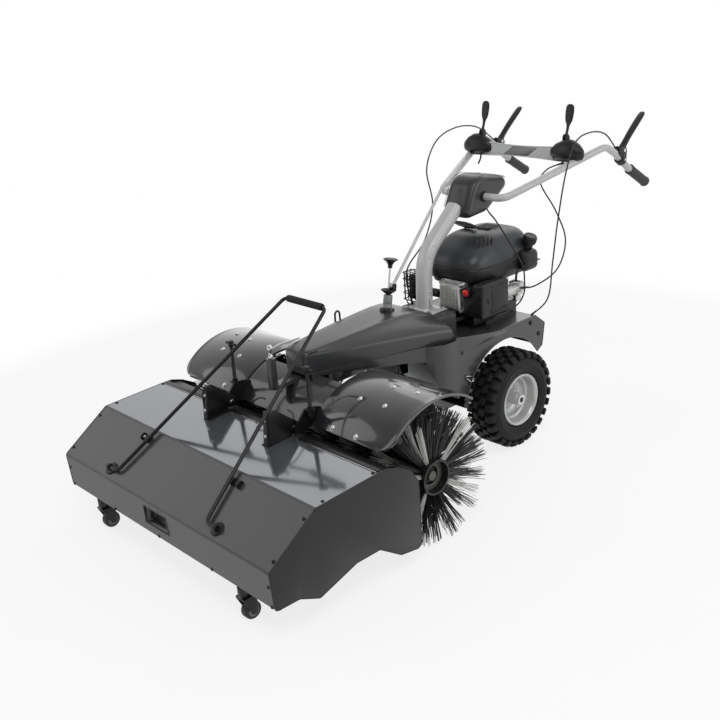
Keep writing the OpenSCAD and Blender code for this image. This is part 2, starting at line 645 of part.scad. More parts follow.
// Collector
cf = collector_front_y;
sheet_line = [[cf + 434, 57], [cf + 358, 110], [cf + 7, 102], [cf, 210], [cf + 155, 316], [cf + 376, 326]];
slope_at = sheet_line[3];
slope_a = atan2(sheet_line[4][1] - slope_at[1], sheet_line[4][0] - slope_at[0]);
top_rise = (sheet_line[5][1] - sheet_line[4][1]) / (sheet_line[5][0] - sheet_line[4][0]);
function top_z(y) = sheet_line[4][1] + (y - sheet_line[4][0]) * top_rise;
grip_hole = [[-61, 137], [50, 192]];
grip_depth = 28;
module collector_shell() color("#3f4446") difference() {
    union() {
        along_x(-plate_in_x, plate_in_x) polygon(strip(sheet_line, 0, -sheet_t));
        intersection() {
            translate([grip_hole[0][0] - sheet_t, cf - 5, grip_hole[0][1] - sheet_t])
                cube([grip_hole[1][0] - grip_hole[0][0] + 2 * sheet_t, grip_depth + 5 + sheet_t,
                    grip_hole[1][1] - grip_hole[0][1] + 2 * sheet_t]);
            along_x(-200, 200) polygon([sheet_line[2], sheet_line[3], [cf + 90, sheet_line[3][1]],
                [cf + 90, sheet_line[2][1]]]);
        }
    }
    translate([grip_hole[0][0], cf - 5, grip_hole[0][1]])
        cube([grip_hole[1][0] - grip_hole[0][0], grip_depth + 5, grip_hole[1][1] - grip_hole[0][1]]);
}
module end_plates() color("#2e3133") both() along_x(plate_in_x, plate_out_x) polygon([[cf, 210], [cf + 155, 316],
    [cf + 376, 326], [cf + 401, 325], [cf + 439, 313], [cf + 484, 288], [cf + 512, 245], [cf + 514, 58],
    [cf + 503, 44], [cf + 434, 55], [cf + 358, 107], [cf + 275, 107], [cf + 146, 68], [cf + 83, 98], [cf + 7, 100]]);
// Things set on panel i of the bent sheet at x, a distance d along it, with their local Z outwards
module on_panel(i, x, d) {
    run = sheet_line[i + 1] - sheet_line[i];
    translate([x, sheet_line[i][0], sheet_line[i][1]]) rotate([atan2(run[1], run[0]), 0, 0])
        translate([0, d, 0]) children();
}
screw_r = 5;
screw_in = 8;
module collector_screws() color("#1c1d1e") {
    both() for (p = [[2, 8], [2, 66], [3, 30], [3, 154], [4, 34], [4, 205]])
        on_panel(p[0], plate_in_x - screw_in, p[1]) cylinder(r = screw_r, h = screw_h);
    for (x = [-242, -8, 242]) on_panel(2, x, 9) cylinder(r = screw_r, h = screw_h);
    on_panel(4, 0, 212) cylinder(r = screw_r, h = screw_h);
}
// Bail handle on its ears
bail_s = 31;
bail_n = 10;
bail_at = [slope_at[0] + bail_s * cos(slope_a) - bail_n * sin(slope_a),
    slope_at[1] + bail_s * sin(slope_a) + bail_n * cos(slope_a)];
bail_x = 251;
ear_x = bail_x + 7;
ear_t = 8;
ear_r = bail_n - 0.6;
bail_top = [92, cf + 583, 632];
bail_fit = 0.08;
caster_y = cf + 20;
caster_trail = 18;
stem_r = 6;
socket_r = 14;
socket_low_z = 72;
socket_top_z = sheet_line[2][1];
module collector_brackets() color("#202224") both() {
    along_x(arm_x - 13, arm_x - 7) difference() {
        polygon([[cf + 289, top_z(cf + 289)], [cf + 371, top_z(cf + 371)], [cf + 371, hinge_at[1] - 14],
            [hinge_at[0] + 14, hinge_at[1] - 14], [hinge_at[0] + 14, hinge_at[1] + 14], [cf + 349, 400],
            [cf + 324, 422], [cf + 299, 422], [cf + 289, 400]]);
        translate(hinge_at) circle(hinge_r + fit);
    }
    along_x(ear_x, ear_x + ear_t) translate(bail_at) rotate(slope_a) difference() {
        union() {
            circle(ear_r);
            translate([1 - ear_r, -bail_n]) square([2 * ear_r - 2, bail_n - 1]);
        }
        circle(bail_r + bail_fit);
    }
    on_panel(3, 205, 150) cube([30, 14, 5.4]);
    translate([caster_x, caster_y, 0]) difference() {
        translate([0, 0, socket_low_z]) cylinder(r = socket_r, h = socket_top_z - socket_low_z);
        translate([0, 0, socket_low_z - 1]) cylinder(r = stem_r + fit, h = 27);
    }
}
module bail_handle() color("#202224") {
    both() {
        x_bar(bail_x, ear_x + ear_t + gap + 4, bail_at[0], bail_at[1], bail_r);
        x_bar(ear_x + ear_t + gap, ear_x + ear_t + gap + 4, bail_at[0], bail_at[1], bail_r + 3);
        translate([bail_x, bail_at[0], bail_at[1]]) sphere(r = bail_r * 1.01);
        rod([bail_x, bail_at[0], bail_at[1]], bail_top, bail_r);
        translate(bail_top) sphere(r = bail_r * 1.01);
    }
    x_bar(-bail_top[0], bail_top[0], bail_top[1], bail_top[2], bail_r);
}
module bail_grip() color("#232425") difference() {
    x_bar(-78, 78, bail_top[1], bail_top[2], foam_r);
    x_bar(-90, 90, bail_top[1], bail_top[2], bail_r);
}
// Casters
caster_pin_r = 4;
fork_t = 4;
module caster_fork() color("#97999b") translate([caster_x, caster_y, 0]) {
    in_x = caster_w / 2 + gap;
    crown_z = socket_low_z - gap;
    translate([0, 0, crown_z - 6]) cylinder(r = stem_r, h = 31);
    translate([-in_x - fork_t, -12, crown_z - 6]) cube([2 * (in_x + fork_t), caster_trail + 22, 6]);
    both() along_x(in_x, in_x + fork_t) {
        polygon([[-10, crown_z - 1], [caster_trail + 9, crown_z - 1], [caster_trail + 9, caster_r], [caster_trail - 9, caster_r]]);
        translate([caster_trail, caster_r]) circle(9);
    }
    x_bar(-in_x - 1, in_x + 1, caster_trail, caster_r, caster_pin_r);
}
module caster_wheel() color("#3c3f41") translate([caster_x, caster_y + caster_trail, caster_r]) difference() {
    x_bar(-caster_w / 2, caster_w / 2, 0, 0, caster_r);
    x_bar(-caster_w, caster_w, 0, 0, caster_pin_r + fit);
}
module right_caster_fork() caster_fork();
module left_caster_fork() mirror([1, 0, 0]) caster_fork();
module right_caster_wheel() caster_wheel();
module left_caster_wheel() mirror([1, 0, 0]) caster_wheel();

// Handlebar
bar_line = [[0, pivot_y, pivot_z], [137, pivot_y, pivot_z], [grip_x, pivot_y + 381, pivot_z + 119],
    [grip_x, pivot_y + 437, pivot_z + 89], [grip_x, pivot_y + 525, pivot_z + 23],
    [grip_x, pivot_y + 632, pivot_z - 41]];
cross_y = pivot_y + 263;
cross_z = pivot_z + 105;
module bar_half() {
    for (i = [1:4]) rod(bar_line[i], bar_line[i + 1], bar_r);
    for (i = [1:4]) translate(bar_line[i]) sphere(r = bar_r * 1.01);
}
module cross_plate() translate([-218, cross_y, cross_z - 24]) cube([436, 3, 48]);
module handlebar() color("#b9bcbc") {
    x_bar(-bar_line[1][0], bar_line[1][0], pivot_y, pivot_z, bar_r);
    both() bar_half();
    cross_plate();
}
grip_dir = unit(bar_line[5] - bar_line[4]);
module grips() color("#3b3d3f") both() difference() {
    rod(bar_line[4] + 8 * grip_dir, bar_line[5] + 5 * grip_dir, grip_r);
    bar_half();
}
perch_dir = unit(bar_line[4] - bar_line[3]);
perch_at = bar_line[3] + 46 * perch_dir;
lever_at = [perch_at[1], perch_at[2] + 32];
lever_pin_r = 4;
lever_eye_r = 7;
perch_r = bar_r + 5;
module lever_perches() color("#232426") both() difference() {
    union() {
        rod(perch_at - 12 * perch_dir, perch_at + 12 * perch_dir, perch_r);
        for (x = [grip_x - lever_w / 2 - gap - 4, grip_x + lever_w / 2 + gap]) along_x(x, x + 4) {
            polygon([[perch_at[1] - 8, perch_at[2] + 4], [lever_at[0] - 9, lever_at[1]], [lever_at[0] + 9, lever_at[1]],
                [perch_at[1] + 8, perch_at[2] - 4]]);
            translate(lever_at) circle(9);
        }
        x_bar(grip_x - lever_w / 2 - gap - 1, grip_x + lever_w / 2 + gap + 1, lever_at[0], lever_at[1], lever_pin_r);
    }
    bar_half();
}
lever_rise = 39.9;
module hand_lever() color("#1f2021") along_x(grip_x - lever_w / 2, grip_x + lever_w / 2) difference() {
    union() {
        translate(lever_at) circle(lever_eye_r);
        translate(lever_at) rotate(lever_rise) polygon(strip([[0, 0], [lever_len * 0.3, 3], [lever_len, 0]], 2.5, -2.5));
    }
    translate(lever_at) circle(lever_pin_r + fit);
}
module right_lever() hand_lever();
module left_lever() mirror([1, 0, 0]) hand_lever();
paddle_at = [180, pivot_y + 278, pivot_z + 161];
paddle_lean = -15;
paddle_hw = 4;
paddle_pin_r = 3;
module consoles() color("#2c2e30") both() difference() {
    union() {
        hull() {
            translate([187, cross_y - 7, cross_z + 8]) sphere(r = 30, $fn = 32);
            translate([187, cross_y + 33, cross_z + 18]) sphere(r = 22, $fn = 32);
            translate([222, cross_y + 3, cross_z - 17]) sphere(r = 18, $fn = 32);
        }
        for (x = [paddle_at[0] - paddle_hw - gap - 4, paddle_at[0] + paddle_hw + gap])
            translate([x, paddle_at[1] - 9, paddle_at[2] - 34]) cube([4, 18, 43]);
        x_bar(paddle_at[0] - paddle_hw - 2, paddle_at[0] + paddle_hw + 2, paddle_at[1], paddle_at[2], paddle_pin_r);
    }
    bar_half();
    cross_plate();
}
module paddle() color("#1f2021") translate(paddle_at) difference() {
    union() {
        x_bar(-paddle_hw, paddle_hw, 0, 0, 8);
        rotate([paddle_lean, 0, 0]) {
            translate([-paddle_hw, -3, 0]) cube([2 * paddle_hw, 6, 52]);
            translate([-17, -2.5, 46]) cube([34, 5, 60]);
        }
    }
    x_bar(-20, 20, 0, 0, paddle_pin_r + fit);
}
module right_paddle() paddle();
module left_paddle() mirror([1, 0, 0]) paddle();

// Cables and hose, swept along their routes
cable_r = 2.5;
hose_r = 4;
cable_sides = 8;
left_route = [[-265, 817.16, 893.13], [-265.1, 807.8, 900.1], [-265.3, 788, 915], [-262, 689, 975], [-250, 560, 992], [-238, 440, 962], [-222, 368, 875],
    [-160, 325, 765], [-100, 215, 672], [-84, 104, 590], [-75, 116, 475.4]];
right_route = [[265, 817.16, 893.13], [265.1, 807.8, 900.1], [265.3, 788, 915], [274, 708, 975], [282, 610, 994], [288, 520, 975], [284, 474, 880],
    [268, 456, 730], [246, 460, 590], [208, 485, 452], [192, 415, 407.6]];
throttle_route = [[187, 600, 891.2], [128, 588, 866], [114, 570, 822], [200, 540, 740], [257, 515, 655], [256, 472, 566],
    [226, 396, 523], [188.1, 366, 515]];
hose_route = [[168, 404.5, 566], [168, 394, 567], [168, 376, 570], [168, 366, 556], [168, 364, 535.4]];
function spline(p, n) = [for (i = [0:len(p) - 2], k = [0:n - 1])
    let (a = p[max(i - 1, 0)], b = p[i], c = p[i + 1], d = p[min(i + 2, len(p) - 1)], t = k / n)
    b + (c - a) * t / 2 + (2 * a - 5 * b + 4 * c - d) * t * t / 2 + (3 * b - a - 3 * c + d) * t * t * t / 2,
    p[len(p) - 1]];
module sweep(p, r, ref) {
    m = len(p);
    s = cable_sides;
    pts = [for (i = [0:m - 1], k = [0:s - 1])
        let (t = unit(p[min(i + 1, m - 1)] - p[max(i - 1, 0)]), u = unit(cross(ref, t)), v = cross(t, u), a = 360 * k / s)
        p[i] + r * (u * cos(a) + v * sin(a))];
    polyhedron(pts, concat([[for (k = [s - 1:-1:0]) k]], [[for (k = [0:s - 1]) (m - 1) * s + k]],
        [for (i = [0:m - 2], k = [0:s - 1], h = [0, 1]) let (j = (k + 1) % s)
            h == 0 ? [i * s + k, i * s + j, (i + 1) * s + j] : [i * s + k, (i + 1) * s + j, (i + 1) * s + k]]));
}
module clutch_cable_left() color("#161718") sweep(spline(left_route, 3), cable_r, [1, 0.2, 0]);
module clutch_cable_right() color("#161718") sweep(spline(right_route, 3), cable_r, [1, 0.2, 0]);
module throttle_cable() color("#161718") sweep(spline(throttle_route, 2), cable_r, [0.2, 1, 0]);
module fuel_hose() color("#161718") sweep(spline(hose_route, 2), hose_r, [1, 0, 0]);

chassis_frame();
carrier_plate();
belt_hood();
drive_gearbox();
axle_shaft();
chassis_bolts();
engine_block();
rocker_cover();
engine_shroud();
fuel_tank();
air_filter_box();
carburettor();
muffler_guard();
handle_post();
head_cover();
shift_spool();
drive_belt();
fuel_hose();
clutch_cable_left();
clutch_cable_right();
throttle_cable();
handlebar();
grips();
lever_perches();
consoles();
left_lever();
right_lever();
left_paddle();
right_paddle();
left_tyre();
left_rim();
right_tyre();
right_rim();
brush_gearbox();
brush_frame();
fenders();
fender_bolts();
brush_shaft();
hub_discs();
left_bristles();
right_bristles();
driven_pulley();
crank_pulley();
collector_shell();
end_plates();
collector_brackets();
collector_screws();
left_caster_fork();
right_caster_fork();
left_caster_wheel();
right_caster_wheel();
bail_handle();
bail_grip();
left_lock_pin();
right_lock_pin();
swivel_plunger();
shift_lever();
recoil_handle();
fuel_cap();
primer_bulb();
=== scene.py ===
"""Power brush sweeper with a front dirt collector, dressed over its solid model."""
import random
from functools import partial
from math import acos, atan2, copysign, cos, degrees, pi, radians, sin, sqrt, tan

import bpy
from mathutils import Matrix, Vector


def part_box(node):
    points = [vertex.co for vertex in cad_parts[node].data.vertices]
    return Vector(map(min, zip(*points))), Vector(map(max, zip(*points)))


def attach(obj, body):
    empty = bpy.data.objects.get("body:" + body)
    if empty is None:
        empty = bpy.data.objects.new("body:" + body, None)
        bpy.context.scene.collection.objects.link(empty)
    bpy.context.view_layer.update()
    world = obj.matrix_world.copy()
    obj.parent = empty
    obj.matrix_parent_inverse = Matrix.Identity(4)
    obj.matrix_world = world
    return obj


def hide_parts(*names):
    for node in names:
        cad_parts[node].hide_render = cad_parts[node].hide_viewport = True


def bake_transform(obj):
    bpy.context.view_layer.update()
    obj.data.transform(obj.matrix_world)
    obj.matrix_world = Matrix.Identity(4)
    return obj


bl_info = {
    "name": "Power Brush Sweeper",
    "version": (1, 0, 0),
    "blender": (4, 5, 0),
    "location": "View3D > Sidebar > Sweeper",
    "description": "Builds the visible pieces of a walk-behind brush sweeper",
    "category": "Add Mesh",
}

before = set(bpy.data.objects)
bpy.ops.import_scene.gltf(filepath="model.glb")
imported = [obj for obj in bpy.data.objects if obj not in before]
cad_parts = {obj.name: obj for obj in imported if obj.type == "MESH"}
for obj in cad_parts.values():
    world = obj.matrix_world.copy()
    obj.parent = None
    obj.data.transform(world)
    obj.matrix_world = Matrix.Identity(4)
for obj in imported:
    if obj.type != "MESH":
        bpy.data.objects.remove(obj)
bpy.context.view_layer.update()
MM = 0.001
MERGE = 1e-5  # metres within which two points become one
TIP = 0.01  # radius in millimetres that closes a turned profile on its axis
SIDES = ((1, "right"), (-1, "left"))


def colour_prop(name, description, value):
    return bpy.props.FloatVectorProperty(name=name, description=description, subtype="COLOR", size=3,
                                         min=0.0, max=1.0, default=value)


def length_prop(name, description, value):
    return bpy.props.FloatProperty(name=name, description=description, unit="LENGTH", default=value, min=0.0)


class SweeperColours(bpy.types.PropertyGroup):
    """Colours of the finishes, as linear values."""
    collector: colour_prop("Collector", "Paint of the collector's bent sheet", (0.046, 0.0465, 0.047))
    end_plate: colour_prop("End plates", "Paint of the collector's end plates", (0.014, 0.0145, 0.015))
    fender: colour_prop("Fenders", "Gloss paint of the brush fenders", (0.018, 0.019, 0.021))
    hood: colour_prop("Hood", "Moulded plastic of the belt hood and head cover", (0.020, 0.021, 0.023))
    deck: colour_prop("Deck", "Paint of the deck and side walls", (0.027, 0.028, 0.030))
    carrier: colour_prop("Carrier", "Paint of the carrier and gearboxes", (0.42, 0.44, 0.42))
    tube: colour_prop("Tubes", "Paint of the post and handlebar", (0.48, 0.49, 0.485))
    shroud: colour_prop("Engine shroud", "Moulded plastic over the engine", (0.024, 0.026, 0.030))
    rubber: colour_prop("Rubber", "Tyres and cables", (0.008, 0.008, 0.0085))
    rim: colour_prop("Rims", "Paint of the wheel rims", (0.52, 0.53, 0.52))
    bristle_dark: colour_prop("Dark bristles", "Main colour of the brush", (0.006, 0.006, 0.006))
    # Pale strands that paint the grey highlights on the black bristles.
    bristle_highlight: colour_prop("Bristle highlights", "Strands mixed into the brush", (0.50, 0.50, 0.48))


class SweeperSizes(bpy.types.PropertyGroup):
    """Sizes of visible detail."""
    fold_radius: length_prop("Fold radius", "Bend radius of the collector's sheet", 0.005)
    fender_lip: length_prop("Fender lip", "Radius of the fenders' rolled edge", 0.005)
    strand_width: length_prop("Strand width", "Width of a bristle at its root", 0.0032)
    cable_radius: length_prop("Cable radius", "Radius of the control cables", 0.0025)
    strands: bpy.props.IntProperty(name="Strands", description="Bristles in each half of the brush",
                                   default=5280, min=330, max=9900)


# Shaping helpers

def pick(obj):
    """Makes one object the active and only selected one."""
    bpy.ops.object.select_all(action="DESELECT")
    obj.select_set(True)
    bpy.context.view_layer.objects.active = obj
    return obj


def edit(action, obj):
    """Runs an edit-mode action on the whole of one mesh."""
    pick(obj)
    bpy.ops.object.mode_set(mode="EDIT")
    bpy.ops.mesh.select_all(action="SELECT")
    action()
    bpy.ops.object.mode_set(mode="OBJECT")
    return obj


def outward(obj):
    """Merges points in one place and turns the faces outward."""
    def action():
        bpy.ops.mesh.remove_doubles(threshold=MERGE)
        bpy.ops.mesh.normals_make_consistent(inside=False)
    return edit(action, obj)


def settle(obj):
    """Puts an object's place into its mesh."""
    pick(obj)
    bpy.ops.object.transform_apply(location=True, rotation=True, scale=True)
    return obj


def modify(obj, kind, **values):
    """Adds a modifier with its values and applies it."""
    pick(obj)
    mod = obj.modifiers.new(kind.title(), kind)
    for key, value in values.items():
        setattr(mod, key, value)
    bpy.ops.object.modifier_apply(modifier=mod.name)
    return obj


def soften(obj, width, segments=2, angle=30):
    """Rounds the sharp edges."""
    return modify(obj, "BEVEL", width=width, segments=segments, limit_method="ANGLE",
                  angle_limit=radians(angle), harden_normals=False)


def smooth(obj, angle=35):
    """Shades smoothly across edges below an angle."""
    pick(obj)
    bpy.ops.object.shade_smooth_by_angle(angle=radians(angle))
    return obj


def named(name):
    """Names the object that was just added."""
    obj = bpy.context.active_object
    obj.name = obj.data.name = name
    return obj


def new_ring(name, count, filled):
    """Adds a ring of points, which the caller then sets in place."""
    bpy.ops.object.select_all(action="DESELECT")
    bpy.ops.mesh.primitive_circle_add(vertices=count, radius=1.0, fill_type="NGON" if filled else "NOTHING")
    return named(name)


def place(obj, points):
    """Moves a mesh's points, in their order, to new places."""
    for vert, point in zip(obj.data.vertices, points):
        vert.co = point
    obj.data.update()
    return obj


def slab(name, outline, push, bevel=0.0, segments=2):
    """A flat outline in metres pushed along a vector into a solid with rounded edges."""
    obj = place(new_ring(name, len(outline), True), [Vector(p) for p in outline])
    edit(lambda: bpy.ops.mesh.extrude_region_move(TRANSFORM_OT_translate={"value": tuple(push)}), obj)
    outward(obj)
    if bevel:
        soften(obj, bevel, segments)
    return smooth(obj)


def side_slab(name, outline, x0, x1, bevel=0.0):
    """A side view, in millimetres along Y and Z, made solid between two places on X."""
    return slab(name, [(x0 * MM, y * MM, z * MM) for y, z in outline], ((x1 - x0) * MM, 0, 0), bevel * MM)


def block(name, low, high, bevel=2.0, segments=2):
    """A box between two corners in millimetres, with rounded edges."""
    bpy.ops.object.select_all(action="DESELECT")
    centre = [(a + b) / 2 * MM for a, b in zip(low, high)]
    bpy.ops.mesh.primitive_cube_add(size=1.0, location=centre)
    obj = named(name)
    obj.scale = [(b - a) * MM for a, b in zip(low, high)]
    settle(obj)
    return smooth(soften(obj, bevel * MM, segments))


def turned(name, profile, at, axis=(1, 0, 0), steps=64, angle=35):
    """A profile of (radius, place along the axis) in millimetres, spun round the axis."""
    axis = Vector(axis).normalized()
    side = axis.orthogonal().normalized()
    at = Vector(at) * MM
    points = [at + (side * r + axis * a) * MM for r, a in profile]
    obj = place(new_ring(name, len(points), False), points)
    edit(lambda: bpy.ops.mesh.spin(steps=steps, angle=2 * pi, center=at, axis=axis), obj)
    outward(obj)
    return smooth(obj, angle)


def peg(radius, low, high):
    """The profile of a plain round bar."""
    return sleeve(TIP, radius, low, high)


def sleeve(inner, outer, low, high):
    """The profile of a plain ring."""
    return [(inner, low), (outer, low), (outer, high), (inner, high)]


def mirror_profile(half):
    """A whole profile from its half on the axis's plus side."""
    return [(r, -a) for r, a in half] + half[::-1]


def sheet(name, rows, wrap=False, caps=False):
    """A surface through rows of points in millimetres, wrapped round and capped if asked."""
    bpy.ops.object.select_all(action="DESELECT")
    if wrap:
        rows = [list(row) + [row[0]] for row in rows]
    across, along = len(rows[0]), len(rows)
    bpy.ops.mesh.primitive_grid_add(x_subdivisions=across - 1, y_subdivisions=along - 1, size=1.0)
    obj = outward(place(named(name), [Vector(p) * MM for row in rows for p in row]))
    if caps:
        edit(lambda: bpy.ops.mesh.fill_holes(sides=0), obj)
        outward(obj)
    return smooth(obj)


def heading(path, i):
    """The way a line runs at one of its points."""
    return (path[min(i + 1, len(path) - 1)] - path[max(i - 1, 0)]).normalized()


def tube(name, points, radius, sides=12, round_to=0.0, steps=6):
    """A round bar through points in millimetres with bends of a given radius."""
    path = [Vector(p) for p in points]
    if round_to:
        path = rounded(path, round_to, steps)
    rows = []
    side = None
    for i, p in enumerate(path):
        ahead = heading(path, i)
        if side is None:
            side = ahead.orthogonal().normalized()
        side = (side - ahead * side.dot(ahead)).normalized()
        up = ahead.cross(side)
        r = radius(i / (len(path) - 1)) if callable(radius) else radius
        rows.append([p + (side * cos(a) + up * sin(a)) * r
                     for a in (2 * pi * k / sides for k in range(sides))])
    return smooth(sheet(name, rows, wrap=True, caps=True), 50)


def rounded(path, radius, steps):
    """A bent line whose corners follow arcs."""
    out = [path[0]]
    for a, b, c in zip(path, path[1:], path[2:]):
        u, v = (a - b).normalized(), (c - b).normalized()
        half = acos(max(-1.0, min(1.0, u.dot(v)))) / 2
        trim = min(radius / max(tan(half), 1e-3), (a - b).length * 0.48, (c - b).length * 0.48)
        for k in range(steps + 1):
            t = k / steps
            out.append(b + u * trim * (1 - t) ** 2 + v * trim * t ** 2)
    out.append(path[-1])
    return out


def spline(points, steps):
    """A smooth line through points."""
    p = [Vector(q) for q in points]
    out = []
    for i in range(len(p) - 1):
        a, b, c, d = p[max(i - 1, 0)], p[i], p[i + 1], p[min(i + 2, len(p) - 1)]
        for k in range(steps):
            t = k / steps
            out.append(b + (c - a) * t / 2 + (a * 2 - b * 5 + c * 4 - d) * (t * t / 2)
                       + (b * 3 - a - c * 3 + d) * (t ** 3 / 2))
    return out + [p[-1]]


def joined(name, parts):
    """Makes several meshes one piece."""
    bpy.ops.object.select_all(action="DESELECT")
    for part in parts:
        part.select_set(True)
    bpy.context.view_layer.objects.active = parts[0]
    bpy.ops.object.join()
    return named(name)


def copied(obj, name, matrix):
    """A copy with its own mesh, moved in its mesh."""
    pick(obj)
    bpy.ops.object.duplicate(linked=False)
    twin = named(name)
    twin.data.transform(matrix)
    if matrix.determinant() < 0:
        twin.data.flip_normals()
    twin.data.update()
    return twin


def mirrored(obj, name):
    """A copy on the machine's other side."""
    return copied(obj, name, Matrix.Scale(-1, 4, (1, 0, 0)))


def both(name, right):
    """A right-hand mesh and its mirror image as one piece."""
    return joined(name, [right, mirrored(right, "left_" + name)])


def cut(obj, tool):
    """Takes one solid out of another."""
    modify(obj, "BOOLEAN", object=tool, operation="DIFFERENCE", solver="EXACT")
    bpy.data.objects.remove(tool, do_unlink=True)
    return obj


def dress(obj, finish, body, slot, *nodes):
    """Gives a piece its finish, the body that it moves with and the nodes that it stands for."""
    obj.data.materials.clear()
    obj.data.materials.append(bpy.data.materials[finish])
    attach(obj, body)
    if nodes:
        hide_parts(*nodes)
    return obj


def unite(name, parts, finish, body, slot, *nodes):
    """Joins meshes into one piece and dresses it."""
    return dress(joined(name, parts), finish, body, slot, *nodes)


# Finishes

def group(name, inputs, outputs):
    """An empty shader node group with named sockets."""
    tree = bpy.data.node_groups.new(name, "ShaderNodeTree")
    for label, kind, value in inputs:
        socket = tree.interface.new_socket(label, in_out="INPUT", socket_type=kind)
        if value is not None:
            socket.default_value = value
    for label, kind in outputs:
        tree.interface.new_socket(label, in_out="OUTPUT", socket_type=kind)
    return tree, tree.nodes.new("NodeGroupInput"), tree.nodes.new("NodeGroupOutput")


def feed(tree, value, socket):
    """Links an output to a socket, or sets the socket to a plain value."""
    if hasattr(value, "node"):
        tree.links.new(value, socket)
    elif socket.type == "RGBA":
        socket.default_value = (*value[:3], 1.0)
    else:
        socket.default_value = value


def noise(tree, vector, scale, detail, rough=0.5):
    node = tree.nodes.new("ShaderNodeTexNoise")
    node.inputs["Detail"].default_value = detail
    node.inputs["Roughness"].default_value = rough
    tree.links.new(vector, node.inputs["Vector"])
    feed(tree, scale, node.inputs["Scale"])
    return node.outputs["Fac"]


def remap(tree, value, low, high, to_low=0.0, to_high=1.0):
    node = tree.nodes.new("ShaderNodeMapRange")
    for label, number in (("From Min", low), ("From Max", high), ("To Min", to_low), ("To Max", to_high)):
        feed(tree, number, node.inputs[label])
    tree.links.new(value, node.inputs["Value"])
    return node.outputs["Result"]


def math_node(tree, kind, a, b):
    node = tree.nodes.new("ShaderNodeMath")
    node.operation = kind
    for i, value in enumerate((a, b)):
        feed(tree, value, node.inputs[i])
    return node.outputs[0]


def arithmetic(tree):
    """The sum, product, difference and larger of two values, as functions for one node tree."""
    return [partial(math_node, tree, kind) for kind in ("ADD", "MULTIPLY", "SUBTRACT", "MAXIMUM")]


def blend_colour(tree, fac, a, b):
    node = tree.nodes.new("ShaderNodeMix")
    node.data_type = "RGBA"
    tree.links.new(fac, node.inputs["Factor"])
    colour_a, colour_b, colour_out = 6, 7, 2
    feed(tree, a, node.inputs[colour_a])
    feed(tree, b, node.inputs[colour_b])
    return node.outputs[colour_out]


def make_mottle():
    """Slow drift of colour and roughness over a coat, with fine specks."""
    tree, start, end = group("Coat Mottle", [
        ("Vector", "NodeSocketVector", None), ("Colour", "NodeSocketColor", (0.5, 0.5, 0.5, 1.0)),
        ("Drift", "NodeSocketFloat", 0.15), ("Roughness", "NodeSocketFloat", 0.4),
        ("Spread", "NodeSocketFloat", 0.06), ("Scale", "NodeSocketFloat", 6.0)],
        [("Colour", "NodeSocketColor"), ("Roughness", "NodeSocketFloat")])
    given, link = start.outputs, tree.links.new
    add, times, less, _ = arithmetic(tree)
    slow = noise(tree, given["Vector"], given["Scale"], 3.0)
    fine = noise(tree, given["Vector"], 420.0, 2.0)
    mixed = add(times(slow, 0.75), times(fine, 0.25))
    gain = add(1.0, times(less(mixed, 0.5), times(given["Drift"], 2.0)))
    scaled = tree.nodes.new("ShaderNodeVectorMath")
    scaled.operation = "SCALE"
    link(given["Colour"], scaled.inputs[0])
    link(gain, scaled.inputs["Scale"])
    link(scaled.outputs[0], end.inputs["Colour"])
    shift = times(less(slow, 0.5), times(given["Spread"], 2.0))
    link(add(given["Roughness"], shift), end.inputs["Roughness"])


def make_grain():
    """Height of a fine moulded or sprayed surface, from orange peel down to pores."""
    tree, start, end = group("Surface Grain", [
        ("Vector", "NodeSocketVector", None), ("Scale", "NodeSocketFloat", 300.0),
        ("Peel", "NodeSocketFloat", 0.5)], [("Height", "NodeSocketFloat")])
    given, link = start.outputs, tree.links.new
    add, times, less, _ = arithmetic(tree)
    cells = tree.nodes.new("ShaderNodeTexVoronoi")
    cells.feature = "SMOOTH_F1"
    link(given["Vector"], cells.inputs["Vector"])
    link(given["Scale"], cells.inputs["Scale"])
    peel = noise(tree, given["Vector"], times(given["Scale"], 0.35), 2.0)
    coarse = times(peel, given["Peel"])
    pores = times(cells.outputs["Distance"], less(1.0, given["Peel"]))
    link(add(coarse, pores), end.inputs["Height"])


def make_dust():
    """Thin pale dust in patches on faces that look up."""
    tree, start, end = group("Settled Dust", [
        ("Vector", "NodeSocketVector", None), ("Colour", "NodeSocketColor", (0.5, 0.5, 0.5, 1.0)),
        ("Amount", "NodeSocketFloat", 0.1)], [("Colour", "NodeSocketColor")])
    given, link = start.outputs, tree.links.new
    times = partial(math_node, tree, "MULTIPLY")
    geometry = tree.nodes.new("ShaderNodeNewGeometry")
    split = tree.nodes.new("ShaderNodeSeparateXYZ")
    link(geometry.outputs["Normal"], split.inputs[0])
    up = remap(tree, split.outputs["Z"], 0.2, 1.0)
    patch = remap(tree, noise(tree, given["Vector"], 14.0, 5.0, 0.6), 0.35, 0.75)
    mask = times(times(up, patch), given["Amount"])
    pale_dust = (0.42, 0.40, 0.37)
    link(blend_colour(tree, mask, given["Colour"], pale_dust), end.inputs["Colour"])


